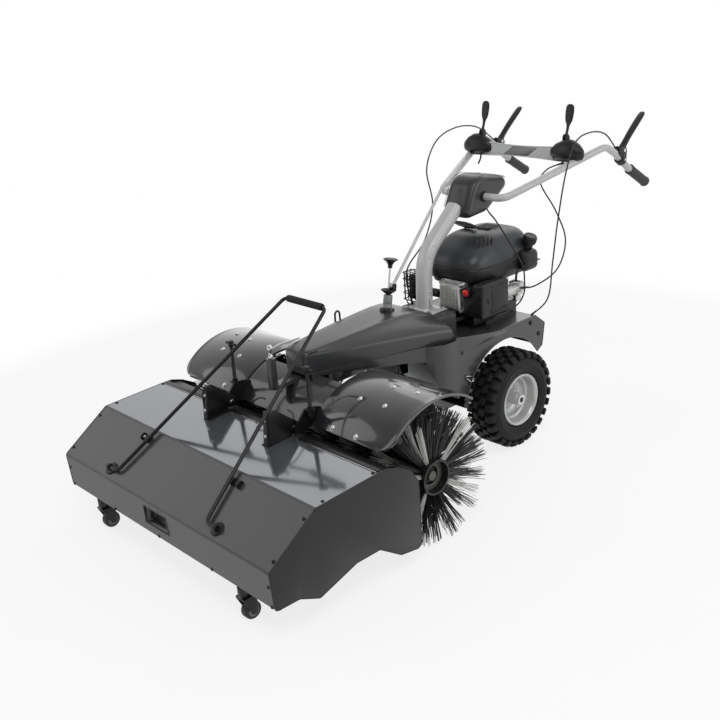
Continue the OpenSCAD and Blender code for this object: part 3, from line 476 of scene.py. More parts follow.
def coat(name, colour, roughness=0.4, drift=0.15, spread=0.06, scale=6.0, grain=300.0, peel=0.8,
         bump=0.08, depth=0.0004, metallic=0.0, clear=0.0, clear_rough=0.08, dust=0.0, specular=0.5):
    """A painted, moulded or bare finish with drifting colour, varied gloss and a fine grain."""
    mat = bpy.data.materials.new(name)
    mat.use_nodes = True
    tree = mat.node_tree
    shader = tree.nodes["Principled BSDF"]
    coords = tree.nodes.new("ShaderNodeTexCoord").outputs["Object"]

    def use(key, **values):
        node = tree.nodes.new("ShaderNodeGroup")
        node.node_tree = bpy.data.node_groups[key]
        tree.links.new(coords, node.inputs["Vector"])
        for label, value in values.items():
            feed(tree, value, node.inputs[label])
        return node

    mottle = use("Coat Mottle", Colour=tuple(colour), Drift=drift, Roughness=roughness, Spread=spread, Scale=scale)
    base = mottle.outputs["Colour"]
    if dust:
        base = use("Settled Dust", Colour=base, Amount=dust).outputs["Colour"]
    relief = tree.nodes.new("ShaderNodeBump")
    for node, values in (
            (relief, {"Strength": bump, "Distance": depth,
                      "Height": use("Surface Grain", Scale=grain, Peel=peel).outputs["Height"]}),
            (shader, {"Base Color": base, "Roughness": mottle.outputs["Roughness"], "Normal": relief.outputs["Normal"],
                      "Metallic": metallic, "Coat Weight": clear, "Coat Roughness": clear_rough,
                      "Specular IOR Level": specular})):
        for label, value in values.items():
            feed(tree, value, node.inputs[label])


def make_finishes(c):
    """Makes every finish of the machine."""
    make_mottle()
    make_grain()
    make_dust()
    # After the colour: roughness, drift, spread, noise scale, grain scale, peel, bump and its depth,
    # then metal, clear coat and the clear coat's roughness
    coat("Collector Paint", c.collector, 0.34, 0.12, 0.05, 5.0, 260, 0.9, 0.03, 0.0003, 0.0, 0.4, 0.06, specular=0.35)
    # A lighter, metal-like copy of the collector's paint for the top panel's facing: painted reflection.
    coat("Collector Gloss", (0.27, 0.28, 0.30), 0.10, 0.08, 0.03, 5.0, 260, 0.9, 0.02, 0.0003, 0.8, 0.5, 0.03)
    # A lighter copy of the collector's paint for the front panel's facing: painted light on the front face.
    coat("Collector Front", (0.125, 0.125, 0.123), 0.50, 0.12, 0.05, 5.0, 260, 0.9, 0.03, 0.0003, specular=0.3)
    coat("End Plate Paint", c.end_plate, 0.32, 0.14, 0.05, 6.0, 260, 0.9, 0.05, 0.0004, 0.0, 0.15, 0.10, specular=0.3)
    coat("Fender Paint", c.fender, 0.22, 0.10, 0.05, 6.0, 220, 0.9, 0.03, 0.0003, 0.0, 1.0, 0.06)
    coat("Guard Paint", (0.012, 0.0125, 0.014), 0.22, 0.10, 0.05, 6.0, 220, 0.9, 0.03, 0.0003, 0.0, 0.8, 0.06)
    coat("Hood Plastic", c.hood, 0.36, 0.10, 0.05, 7.0, 900, 0.3, 0.10, 0.0003, clear=0.4, clear_rough=0.18)
    coat("Head Plastic", c.hood, 0.40, 0.10, 0.05, 9.0, 900, 0.3, 0.10, 0.0003, clear=0.3, clear_rough=0.2)
    coat("Deck Paint", c.deck, 0.36, 0.12, 0.06, 6.0, 320, 0.8, 0.05, 0.0004, clear=0.5, clear_rough=0.12, dust=0.04)
    coat("Carrier Paint", c.carrier, 0.42, 0.10, 0.06, 8.0, 320, 0.8, 0.06, 0.0004, dust=0.08)
    coat("Tube Paint", c.tube, 0.34, 0.07, 0.06, 9.0, 320, 0.8, 0.05, 0.0004, clear=0.5, clear_rough=0.12)
    coat("Shroud Plastic", c.shroud, 0.38, 0.12, 0.06, 9.0, 900, 0.3, 0.14, 0.0003)
    coat("Black Plastic", (0.007, 0.007, 0.0075), 0.42, 0.15, 0.07, 12.0, 900, 0.3, 0.16, 0.0003, specular=0.4)
    coat("Black Paint", (0.007, 0.007, 0.0075), 0.36, 0.15, 0.06, 9.0, 320, 0.8, 0.06, 0.0004, specular=0.35)
    coat("Tyre Rubber", c.rubber, 0.62, 0.25, 0.10, 14.0, 700, 0.5, 0.20, 0.0005, dust=0.03, specular=0.25)
    coat("Soft Rubber", c.rubber, 0.52, 0.20, 0.08, 16.0, 900, 0.5, 0.15, 0.0003)
    coat("Grip Rubber", (0.032, 0.032, 0.033), 0.60, 0.18, 0.08, 20.0, 900, 0.4, 0.20, 0.0004)
    coat("Foam", (0.011, 0.011, 0.012), 0.85, 0.25, 0.06, 30.0, 1400, 0.2, 0.60, 0.0008)
    coat("Rim Paint", c.rim, 0.32, 0.06, 0.05, 9.0, 320, 0.8, 0.05, 0.0004, 0.40, dust=0.06)
    coat("Bright Steel", (0.62, 0.62, 0.61), 0.26, 0.10, 0.08, 30.0, 600, 0.6, 0.05, 0.0003, 1.0)
    coat("Engine Alloy", (0.56, 0.56, 0.55), 0.40, 0.12, 0.10, 18.0, 500, 0.4, 0.20, 0.0005, 0.85)
    coat("Spool Plastic", (0.22, 0.225, 0.225), 0.40, 0.08, 0.05, 14.0, 900, 0.3, 0.10, 0.0003)
    coat("Hub Paint", (0.085, 0.084, 0.074), 0.40, 0.16, 0.08, 12.0, 320, 0.8, 0.06, 0.0004, dust=0.06)
    coat("Caster Rubber", (0.010, 0.010, 0.011), 0.55, 0.20, 0.08, 18.0, 800, 0.4, 0.15, 0.0004)
    coat("Caster Hub", (0.20, 0.20, 0.20), 0.45, 0.12, 0.08, 18.0, 600, 0.5, 0.08, 0.0003)
    coat("Primer Red", (0.60, 0.012, 0.016), 0.30, 0.15, 0.06, 25.0, 900, 0.4, 0.06, 0.0003, clear=0.3)
    coat("Dark Bristle", c.bristle_dark, 0.48, 0.45, 0.10, 60.0, 900, 0.4, 0.10, 0.0003)
    # Pale bristles: painted highlight on the black brush.
    coat("Pale Bristle", c.bristle_highlight, 0.50, 0.35, 0.10, 60.0, 900, 0.4, 0.10, 0.0003)
    coat("Belt Rubber", (0.014, 0.014, 0.014), 0.60, 0.20, 0.08, 20.0, 700, 0.4, 0.20, 0.0004)


class SweeperOperator(bpy.types.Operator):
    """Shared options of the sweeper's operators."""
    bl_options = {"REGISTER", "UNDO"}

    def execute(self, context):
        self.build(context.scene)
        return {"FINISHED"}


class SWEEPER_OT_stage(SweeperOperator):
    """Adds the finishes, pale floor, soft lights and camera"""
    bl_idname = "sweeper.stage"
    bl_label = "Stage"

    def build(self, scene):
        make_finishes(scene.sweeper_colours)
        scene.view_settings.view_transform = "Standard"
        self.camera(scene)
        self.floor()
        self.world(scene)
        for name, at, size, power, aim in (
                ("Key", (1.9, -1.5, 3.6), 2.6, 52, (0, -0.1, 0.4)),
                ("Fill", (-2.8, -2.6, 2.4), 3.2, 27, (0, 0, 0.4)),
                ("Back", (-1.2, 3.2, 2.8), 3.8, 32, (0, 0.2, 0.4)),
                ("Right", (3.4, 1.4, 1.6), 2.2, 20, (0, 0.2, 0.4))):
            bpy.ops.object.light_add(type="AREA", location=at)
            lamp = named(name)
            lamp.data.shape = "DISK"
            lamp.data.size = size
            lamp.data.energy = power
            lamp.rotation_euler = (Vector(aim) - Vector(at)).to_track_quat("-Z", "Y").to_euler()

    def camera(self, scene):
        bpy.ops.object.camera_add()
        camera = named("Camera")
        turn, rise, roll = (radians(v) for v in (48.063, 20.64, -4.049))
        back = Vector((sin(turn) * cos(rise), -cos(turn) * cos(rise), sin(rise)))
        right = Vector((cos(turn), sin(turn), 0))
        up = back.cross(right)
        axes = (right * cos(roll) + up * sin(roll), up * cos(roll) - right * sin(roll), back)
        at = (2.12286, -2.11348, 1.46605)
        camera.matrix_world = Matrix([[*(axis[i] for axis in axes), at[i]] for i in range(3)] + [[0, 0, 0, 1]])
        sensor, image, focal = 36.0, 720, 972.834
        camera.data.sensor_width = sensor
        camera.data.lens = focal / image * sensor
        camera.data.clip_end = 60.0
        scene.camera = camera

    def floor(self):
        """A plain floor that looks white to the camera but still takes a soft shadow."""
        bpy.ops.object.select_all(action="DESELECT")
        bpy.ops.mesh.primitive_plane_add(size=30.0, location=(0, 0, -0.0006))
        plane = settle(bpy.context.active_object)
        plane.name = "Floor"
        mat = bpy.data.materials.new("Pale Floor")
        mat.use_nodes = True
        tree = mat.node_tree
        shader = tree.nodes["Principled BSDF"]
        shader.inputs["Roughness"].default_value = 0.75
        coords = tree.nodes.new("ShaderNodeTexCoord").outputs["Object"]
        tint = blend_colour(tree, noise(tree, coords, 3.0, 3.0), (0.90, 0.90, 0.90), (0.94, 0.94, 0.94))
        tree.links.new(tint, shader.inputs["Base Color"])
        plane.data.materials.append(mat)
        shade = tree.nodes.new("ShaderNodeEmission")
        path = tree.nodes.new("ShaderNodeLightPath")
        away = tree.nodes.new("ShaderNodeVectorMath")
        away.operation = "LENGTH"
        tree.links.new(coords, away.inputs[0])
        far = remap(tree, away.outputs["Value"], 0.9, 2.2)
        least = 0.80
        _, times, _, larger = arithmetic(tree)
        seen = larger(path.outputs["Is Camera Ray"], path.outputs["Is Glossy Ray"])
        seen = larger(seen, path.outputs["Is Transmission Ray"])
        mix = tree.nodes.new("ShaderNodeMixShader")
        tree.links.new(times(seen, larger(far, least)), mix.inputs["Fac"])
        tree.links.new(shader.outputs[0], mix.inputs[1])
        tree.links.new(shade.outputs[0], mix.inputs[2])
        tree.links.new(mix.outputs[0], tree.nodes["Material Output"].inputs["Surface"])

    def world(self, scene):
        """Even white light, with a paler sky behind the machine for glossy faces."""
        world = bpy.data.worlds.new("Studio")
        scene.world = world
        world.use_nodes = True
        tree = world.node_tree
        shader = tree.nodes["Background"]
        path = tree.nodes.new("ShaderNodeLightPath")
        add, times, _, larger = arithmetic(tree)
        seen = larger(path.outputs["Is Camera Ray"], path.outputs["Is Transmission Ray"])
        split = tree.nodes.new("ShaderNodeSeparateXYZ")
        tree.links.new(tree.nodes.new("ShaderNodeNewGeometry").outputs["Incoming"], split.inputs[0])
        ambient = 0.42
        behind = remap(tree, split.outputs["Y"], -0.55, 0.35, 0.60, -0.12)
        level = add(times(path.outputs["Is Glossy Ray"], behind), ambient)
        tree.links.new(larger(seen, level), shader.inputs["Strength"])
        shader.inputs["Color"].default_value = (1, 1, 1, 1)


def bolt(name, at, axis, radius, height, dome=True):
    """A dome or hexagon bolt head standing on a face, in millimetres."""
    if dome:
        profile = [(0, 0), (radius, 0), (radius, height * 0.35), (radius * 0.92, height * 0.6),
                   (radius * 0.7, height * 0.86), (radius * 0.4, height), (0, height)]
        return turned(name, [(max(r, TIP), a) for r, a in profile], at, axis, 20, 60)
    axis = Vector(axis).normalized()
    side = axis.orthogonal().normalized()
    other = axis.cross(side)
    ring = [(Vector(at) + (side * cos(k * pi / 3) + other * sin(k * pi / 3)) * radius) * MM
            for k in range(6)]
    head = slab(name, ring, axis * height * MM, height * 0.12 * MM)
    washer = turned(name + "_w", peg(radius * 1.35, 0, 1.2), at, axis, 24)
    return joined(name, [head, washer])


class SWEEPER_OT_cables(SweeperOperator):
    """Adds the control cables and the fuel hose"""
    bl_idname = "sweeper.cables"
    bl_label = "Cables"

    ROUTES = {
        "clutch_cable_left": [
            (-265, 817.16, 893.13), (-265.1, 807.8, 900.1), (-265.3, 788, 915), (-262, 689, 975), (-250, 560, 992),
            (-238, 440, 962), (-222, 368, 875), (-160, 325, 765), (-100, 215, 672), (-84, 104, 590), (-75, 116, 475.4)],
        "clutch_cable_right": [
            (265, 817.16, 893.13), (265.1, 807.8, 900.1), (265.3, 788, 915), (274, 708, 975), (282, 610, 994),
            (288, 520, 975), (284, 474, 880), (268, 456, 730), (246, 460, 590), (208, 485, 452), (192, 415, 407.6)],
        "throttle_cable": [(187, 600, 891.2), (128, 588, 866), (114, 570, 822), (200, 540, 740), (257, 515, 655),
                           (256, 472, 566), (226, 396, 523), (188.1, 366, 515)],
        "fuel_hose": [(168, 404.5, 566), (168, 394, 567), (168, 376, 570), (168, 366, 556), (168, 364, 535.4)],
    }

    def build(self, scene):
        radius = scene.sweeper_sizes.cable_radius / MM
        hose_radius = 4.0
        for node, route in self.ROUTES.items():
            line = spline(route, 12)
            if node == "fuel_hose":
                hose = tube(node + "_sleeve", line, hose_radius, 10)
                dress(hose, "Soft Rubber", "chassis", "cable_rubber", node)
            else:
                parts = [tube(node + "_sleeve", line, radius, 10)]
                for end, nxt in ((line[0], line[2]), (line[-1], line[-3])):
                    way = (nxt - end).normalized()
                    parts.append(tube(node + "_ferrule", [end, end + way * 9, end + way * 10, end + way * 24],
                                      lambda t: 4.2 if t < 0.5 else 3.3, 12))
                piece = joined(node + "_sleeve", parts)
                piece.data.materials.append(bpy.data.materials["Soft Rubber"])
                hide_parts(node)
                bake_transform(piece)
        line = spline([(44, 372, 762), (72, 348, 759), (110, 336, 737.6), (160, 345, 668.5), (188, 374, 588),
                       (198, 371, 537), (203, 362, 502), (203, 331, 472), (202, 267, 459), (201, 226, 459),
                       (192, 206, 440), (176, 200, 412)], 8)
        dress(tube("brush_cable", line, radius, 10), "Soft Rubber", "chassis", "cable_rubber")


# Dirt collector

FRONT_Y = -989.0
SHEET_X = 497
CASTER_X, CASTER_Y = 350, -969
SHEET_LINE = [(-555, 57), (-631, 110), (-982, 102), (FRONT_Y, 210), (-834, 316), (-613, 326)]


def on_line(line, index, run):
    """A point a given way along one straight run of a side view, with that way and the way out."""
    a, b = Vector(line[index]), Vector(line[index + 1])
    way = (b - a).normalized()
    return a + way * run, way, Vector((-way.y, way.x))


def band(line, thickness, radius, steps=5):
    """The outline of a bent sheet of one thickness on the inner side of a line."""
    path = [p.to_2d() for p in rounded([Vector((*p, 0)) for p in line], radius, steps)]
    inner = []
    for i, p in enumerate(path):
        way = heading(path, i)
        inner.append(p + Vector((way.y, -way.x)) * thickness)
    return [tuple(p) for p in path] + [tuple(p) for p in reversed(inner)]


class SWEEPER_OT_collector(SweeperOperator):
    """Adds the collector's bent sheet, end plates, brackets and screws"""
    bl_idname = "sweeper.collector"
    bl_label = "Dirt Collector"

    def build(self, scene):
        self.shell(scene.sweeper_sizes.fold_radius / MM)
        self.ends()
        self.brackets()
        self.screws()

    def pocket(self, depth=-958):
        """The room of the hand pocket in the front panel."""
        return block("pocket_tool", (-61, -1010, 137), (50, depth, 192), 5, 3)

    def shell(self, fold):
        body = side_slab("collector_sheet", band(SHEET_LINE, 2.0, fold * 2.2), -SHEET_X, SHEET_X)
        cut(body, self.pocket())
        liner = block("pocket_liner", (-64, FRONT_Y + 0.4, 134), (53, -954, 195), 5, 3)
        cut(liner, self.pocket(-957))
        cut(liner, block("pocket_tool", (-90, -1000, 100), (90, -981.5, 230), 1, 1))
        lip = tube("pocket_lip", [(-62, -986.8, 136), (51, -986.8, 136), (51, -988.6, 193), (-62, -988.6, 193),
                                  (-62, -986.9, 137)], 1.6, 8, 4)
        flap = side_slab("rear_flap", [(-620, 324.4), (-590, 320), (-562, 313), (-562.6, 310.6), (-591, 317.4),
                                       (-620, 321.8)], -494, 494, 0.4)
        unite("collector_sheet", [body, liner, lip], "Collector Paint", "collector", "collector_paint",
              "collector_shell")
        dress(flap, "Black Plastic", "collector", "black_plastic")
        skin = 0.6
        # Facings over the top and front panels carry lighter copies of the collector's paint: painted reflection on the
        # top, painted light on the front.
        for panel, stop, name, finish in ((4, 218, "top", "Collector Gloss"), (2, 103, "front", "Collector Front")):
            first, _, out = on_line(SHEET_LINE, panel, 5)
            last, _, _ = on_line(SHEET_LINE, panel, stop)
            outline = [tuple(q) for q in (first, last, last + out * skin, first + out * skin)]
            facing = side_slab("collector_" + name, outline, -496.6, 496.6, 0.2)
            if name == "front":
                cut(facing, self.pocket())
            for face in facing.data.polygons:
                face.use_smooth = False
            dress(facing, finish, "collector", "collector_paint")
        spans = ((-494, -184), (-136, 136), (184, 494))
        bars = [block("flap_bar", (low, -621, 326.4), (high, -607, 330), 1, 2) for low, high in spans]
        unite("flap_bars", bars, "Black Paint", "collector", "black_paint")
        lines = [block("bar_edge", (low, -624, 326.4), (high, -621.4, 328.6), 0.8, 2) for low, high in spans]
        unite("bar_edges", lines, "Bright Steel", "collector", "bright_steel")

    def ends(self):
        corners = [(0, 210), (155, 316), (376, 326), (401, 325), (439, 313), (484, 288), (512, 245), (514, 58),
                   (503, 44), (434, 55), (358, 107), (275, 107), (146, 68), (83, 98), (7, 100)]
        line = [Vector((FRONT_Y + y, z, 0)) for y, z in corners]
        outline = [(p.x, p.y) for p in rounded(line + line[:2], 14, 4)[1:-1]]
        outline = [p for i, p in enumerate(outline) if i == 0 or (Vector(p) - Vector(outline[i - 1])).length > 0.05]
        plate = side_slab("end_plate", outline, SHEET_X, SHEET_X + 3, 0.7)
        edge = tube("end_edge", [(499.0, y, z) for y, z in outline] + [(499.0, *outline[0])], 1.5, 6)
        flange = side_slab("end_flange", band([(FRONT_Y, 206), (-834, 312), (-613, 322)], 2, 6), 478, SHEET_X, 0.3)
        pieces = [joined("right_end_plate", [plate, flange])]
        pieces.append(mirrored(pieces[0], "left_end_plate"))
        trims = [edge, mirrored(edge, "left_end_edge")]
        for piece in pieces:
            dress(piece, "End Plate Paint", "collector", "end_plate_paint", "end_plates")
        unite("end_plate_trim", trims, "Black Paint", "collector", "black_paint")

    def brackets(self):
        x = 147
        plate = side_slab("hook", [(-700, 322), (-618, 326), (-618, 331), (-588, 331), (-588, 359), (-640, 400),
                                   (-665, 422), (-690, 422), (-700, 400)], x, x + 6, 1.2)
        foot = side_slab("hook_foot", [(-704, 322), (-616, 326), (-616, 329.5), (-704, 325.5)], x - 22, x + 6, 1)
        face = side_slab("hook_face", [(-703, 326), (-699, 326), (-689, 423), (-693, 423)], x - 14, x + 6, 1)
        parts = [plate, foot, face]
        bright = [bolt("rivet", (x - 4, -703 + (z - 326) * 0.103, z), (0, -1, 0.1), 5.4, 3) for z in (352, 398)]
        bright.append(bolt("hinge_bolt", (x + 6, -602, 345), (1, 0, 0), 8, 5, False))
        bright.append(bolt("hinge_bolt", (x, -602, 345), (-1, 0, 0), 7, 4))
        pad, way, out = on_line(SHEET_LINE, 3, 31)
        eye = (262, pad.x + out.x * 10, pad.y + out.y * 10)
        base = turned("bail_disc", [(TIP, 0), (20, 0), (20, 2.2), (17, 4), (TIP, 4.4)],
                      (262, pad.x, pad.y), (0, out.x, out.y), 32)
        ear = turned("bail_ear", sleeve(6.1, 9.4, -4, 4), eye, (1, 0, 0), 28)
        quad = [pad + way * s + out * n for s, n in ((-9, 1), (9, 1), (8, 6), (4, 8), (-4, 8), (-8, 6))]
        stem = side_slab("ear_stem", [tuple(q) for q in quad], 258.2, 265.8, 0.6)
        cut(stem, turned("ear_hole", peg(6.1, -9, 9), eye, (1, 0, 0), 28))
        parts += [base, ear, stem]
        rest, way, out = on_line(SHEET_LINE, 3, 157)
        seat = [rest + way * s + out * n
                for s, n in ((-7, 0.2), (7, 0.2), (7, 4.6), (4, 5.6), (0, 5.2), (-4, 5.6), (-7, 4.6))]
        parts.append(side_slab("rest", [tuple(q) for q in seat], 205, 235, 0.8))
        ears = [rest + way * s + out * n for s, n in ((-12, 0.2), (12, 0.2), (10, 11), (6, 13), (-6, 13), (-10, 11))]
        parts += [side_slab("rest_ear", [tuple(q) for q in ears], low, low + 5, 1.2) for low in (204, 231)]
        bright.append(bolt("rest_screw", (229, rest.x + out.x * 5, rest.y + out.y * 5), (0, out.x, out.y), 4.5, 3))
        parts.append(turned("socket", [(4.4, 72), (13, 72), (14, 73.5), (14, 102), (4.4, 102)],
                            (CASTER_X, CASTER_Y, 0), (0, 0, 1), 32))
        dress(both("collector_brackets", joined("right_brackets", parts)), "Black Paint", "collector", "black_paint",
              "collector_brackets")
        dress(both("collector_rivets", joined("right_rivets", bright)), "Bright Steel", "collector", "bright_steel")

    def screws(self):
        parts = []
        profile = [(TIP, 0), (5, 0), (5, 1.4), (4.2, 2.6), (3.2, 3), (2.4, 3), (2.2, 1.2), (TIP, 1.2)]
        runs = ((2, 8), (2, 66), (3, 30), (3, 154), (4, 34), (4, 205))
        spots = [(panel, run, x) for panel, run in runs for x in (-489, 489)]
        spots += [(2, 9, x) for x in (-242, -8, 242)] + [(4, 212, 0)]
        for panel, run, x in spots:
            at, _, out = on_line(SHEET_LINE, panel, run)
            parts.append(turned("screw", profile, (x, at.x, at.y), (0, out.x, out.y), 16))
        unite("socket_screws", parts, "Black Paint", "collector", "black_paint", "collector_screws")


class SWEEPER_OT_bail(SweeperOperator):
    """Adds the carrying bail with its foam grip, and the casters"""
    bl_idname = "sweeper.bail"
    bl_label = "Bail and Casters"

    def build(self, scene):
        self.bail()
        self.casters()

    def bail(self):
        foot = (220, -969.06, 235.75)
        head = (92, -406, 632)
        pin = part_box("bail_handle")[1][0] / MM
        half = [(pin, *foot[1:]), foot, head]
        line = half + [(-x, y, z) for x, y, z in reversed(half)]
        frame_tube = tube("bail_tube", line, 5.5, 16, 22, 8)
        washers = [turned("washer", sleeve(5.4, 8.5, 0, 4), (x, *foot[1:]), (1, 0, 0), 24)
                   for x in (pin - 4.2, -pin + 0.2)]
        unite("bail_tube", [frame_tube] + washers, "Black Paint", "bail", "black_paint", "bail_handle")
        waves = [(11 - (0.5 if k % 2 else 0), -78 + 156 * k / 40) for k in range(1, 40)]
        profile = [(5.6, -78), (9.4, -78)] + waves + [(9.4, 78), (5.6, 78)]
        grip = turned("foam_grip", profile, (0, head[1], head[2]), (1, 0, 0), 40, angle=60)
        dress(grip, "Foam", "bail", "foam", "bail_grip")

    def casters(self):
        for side, name in SIDES:
            x = CASTER_X * side
            axle_at = (x, -951, 25)
            half = [(8, 13), (16, 13.4), (22, 13), (24.4, 10), (25, 6)]
            wheel = turned("tread", mirror_profile(half), axle_at, (1, 0, 0), 48)
            dress(wheel, "Caster Rubber", name + "_caster_wheel", "caster_rubber", name + "_caster_wheel")
            half = [(4.1, 14), (8, 14), (9, 13.2), (15.5, 13.6), (16, 13)]
            hub = turned("caster_hub", mirror_profile(half), axle_at, (1, 0, 0), 40)
            hub.name = name + "_caster_hub"
            dress(hub, "Caster Hub", name + "_caster_wheel", "caster_rubber")
            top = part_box(name + "_caster_fork")[1][2] / MM
            crown = 71.7
            outline = [(-981, crown - 6), (-941, crown - 6), (-940, 27), (-944, 18), (-951, 16), (-958, 18), (-962, 27)]
            legs = [side_slab("leg", outline, x + s * 14.3, x + s * 14.3 + s * 4, 0.8) for s in (1, -1)]
            bridge = block("crown", (x - 18.3, -981, crown - 6), (x + 18.3, -941, crown), 1.2)
            stem = turned("stem", [(TIP, crown - 1), (4, crown - 1), (4, top - 1), (3, top), (TIP, top)],
                          (x, CASTER_Y, 0), (0, 0, 1), 24)
            race = turned("race", peg(13, 0, 0.2), (x, CASTER_Y, crown - 0.2), (0, 0, 1), 28)
            axle = turned("axle", peg(4, -18.6, 18.6), axle_at, (1, 0, 0), 20)
            fork = joined(name + "_fork", legs + [bridge, stem, race, axle])
            dress(fork, "Black Paint", name + "_caster", "black_paint", name + "_caster_fork")


# Brush head

BRUSH_Y, BRUSH_Z, BRUSH_R = -366.0, 197.0, 194.0
BRUSH_AXIS = (0, BRUSH_Y, BRUSH_Z)


def round_brush(angle, radius):
    """A point in the side view at an angle above the rear and a radius from the brush's axis."""
    a = radians(angle)
    return BRUSH_Y + radius * cos(a), BRUSH_Z + radius * sin(a)


def arched(name, profile, start, stop, steps=44):
    """A closed profile of (x, radius) swept round the brush's axis between two angles."""
    angles = [start + (stop - start) * k / steps for k in range(steps + 1)]
    return sheet(name, [[(x, *round_brush(a, r)) for x, r in profile] for a in angles], wrap=True, caps=True)


def paint(finish, *nodes):
    """Gives CAD nodes that stay in sight a finish."""
    material = bpy.data.materials[finish]
    for node in nodes:
        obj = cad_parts[node]
        for slot in obj.material_slots:
            slot.material = material
        if not obj.material_slots:
            obj.data.materials.append(material)


class SWEEPER_OT_brush_head(SweeperOperator):
    """Adds the fenders, guard, bolts, lock pins and swivel knob"""
    bl_idname = "sweeper.brush_head"
    bl_label = "Brush Head"

    def build(self, scene):
        self.fenders(scene.sweeper_sizes.fender_lip / MM)
        self.fittings()
        paint("Carrier Paint", "brush_gearbox")
        paint("Black Paint", "brush_frame")

    def fenders(self, lip):
        outer, rear, front = 478.0, 54, 142.5
        corner, corner_x = 46, 400
        roll = [(outer - lip + lip * sin(t), 243 - lip + lip * cos(t))
                for t in (pi * k / 12 for k in range(7))]
        profile = [(172, 236), (172.4, 242), (174, 243), (186, 243), (190, 244.6), (300, 245), (452, 244.6),
                   (457, 243), (468, 243), *roll, (outer, 237), (476.6, 236.4), (475.4, 237), (475.2, 238.6),
                   (472, 240), (457, 240), (452, 241.6), (300, 242), (190, 241.6), (186, 240.2), (175, 240), (174, 236)]
        shell = arched("right_fender", profile, rear, front, 72)
        for vert in shell.data.vertices:
            x = vert.co.x / MM
            angle = degrees(atan2(vert.co.z / MM - BRUSH_Z, vert.co.y / MM - BRUSH_Y))
            run = radians(front - angle) * 243
            if x > corner_x and run < corner:
                back = corner - sqrt(max(0.0, corner ** 2 - (corner - max(run, 0.0)) ** 2))
                vert.co.x -= back * (x - corner_x) / (outer - corner_x) * MM
        hems = [tube("hem", [(x, *round_brush(angle, 241.6)) for x in (172, 300, end)], 2.6, 8)
                for angle, end in ((rear, 476), (front, 433))]
        right = joined("right_fender", [shell] + hems)
        left = mirrored(right, "left_fender")
        for piece in (right, left):
            dress(piece, "Fender Paint", "brush_head", "fender_paint", "fenders")
        profile = [(-169.5, 237), (-169, 239.6), (-150, 240.4), (0, 240.8), (150, 240.4), (169, 239.6), (169.5, 237),
                   (150, 237.6), (0, 238), (-150, 237.6)]
        guard = arched("centre_guard", profile, 106, 144, 26)
        dress(guard, "Guard Paint", "brush_head", "fender_paint")

    def fittings(self):
        bolts = []
        for x, angle in ((253, 139.5), (346, 139.5), (278, 114), (371, 113), (329, 94), (410, 92)):
            a = radians(angle)
            out = (0, cos(a), sin(a))
            bolts.append(bolt("fender_bolt", (x, *round_brush(angle, 245)), out, 6.4, 4))
            bolts.append(turned("bolt_washer", peg(8, 0, 0.8), (x, *round_brush(angle, 244.8)), out, 24))
        dress(both("fender_domes", joined("right_domes", bolts)), "Bright Steel", "brush_head", "bright_steel",
              "fender_bolts")
        seat = 395.0
        coils = [(6.6 if k % 2 else 5.2, 8 + k * 2.0) for k in range(26)]
        profile = [(TIP, -34), (4, -34), (5, -32), (5, 0.4), (9, 0.4), (9, 6), (5.2, 6.6), *coils, (5, 60), (5, 108),
                   (8, 110), (9, 112), (9, 124), (7.5, 127), (TIP, 127)]
        for side, name in SIDES:
            x = 175 * side
            pin = turned(name + "_pull_pin", profile, (x, -562, seat), (0, 0, 1), 24, angle=40)
            bar = tube("pull_bar", [(x - 22, -562, seat + 118), (x + 22, -562, seat + 118)], 4.2, 12)
            unite(name + "_pull_pin", [pin, bar], "Black Plastic", name + "_lock_pin", "black_plastic",
                  name + "_lock_pin")
        profile = [(TIP, 412), (5, 412), (5, 500), (7.6, 503), (7.6, 509), (5.4, 512), (5, 520), (7, 525),
                   (8.6, 531), (8.2, 538), (6, 541.6), (TIP, 542.4)]
        knob = turned("plunger_knob", profile, (0, -550, 0), (0, 0, 1), 32)
        dress(knob, "Bright Steel", "swivel_plunger", "black_plastic", "swivel_plunger")
        for x in (-34, 34):
            line = spline([(x, -588, 352), (x * 1.2, -600, 370), (x * 0.9, -582, 382), (x * 0.6, -568, 376)], 10)
            dress(tube("release_cable", line, 2.6, 8), "Soft Rubber", "brush_head", "cable_rubber")


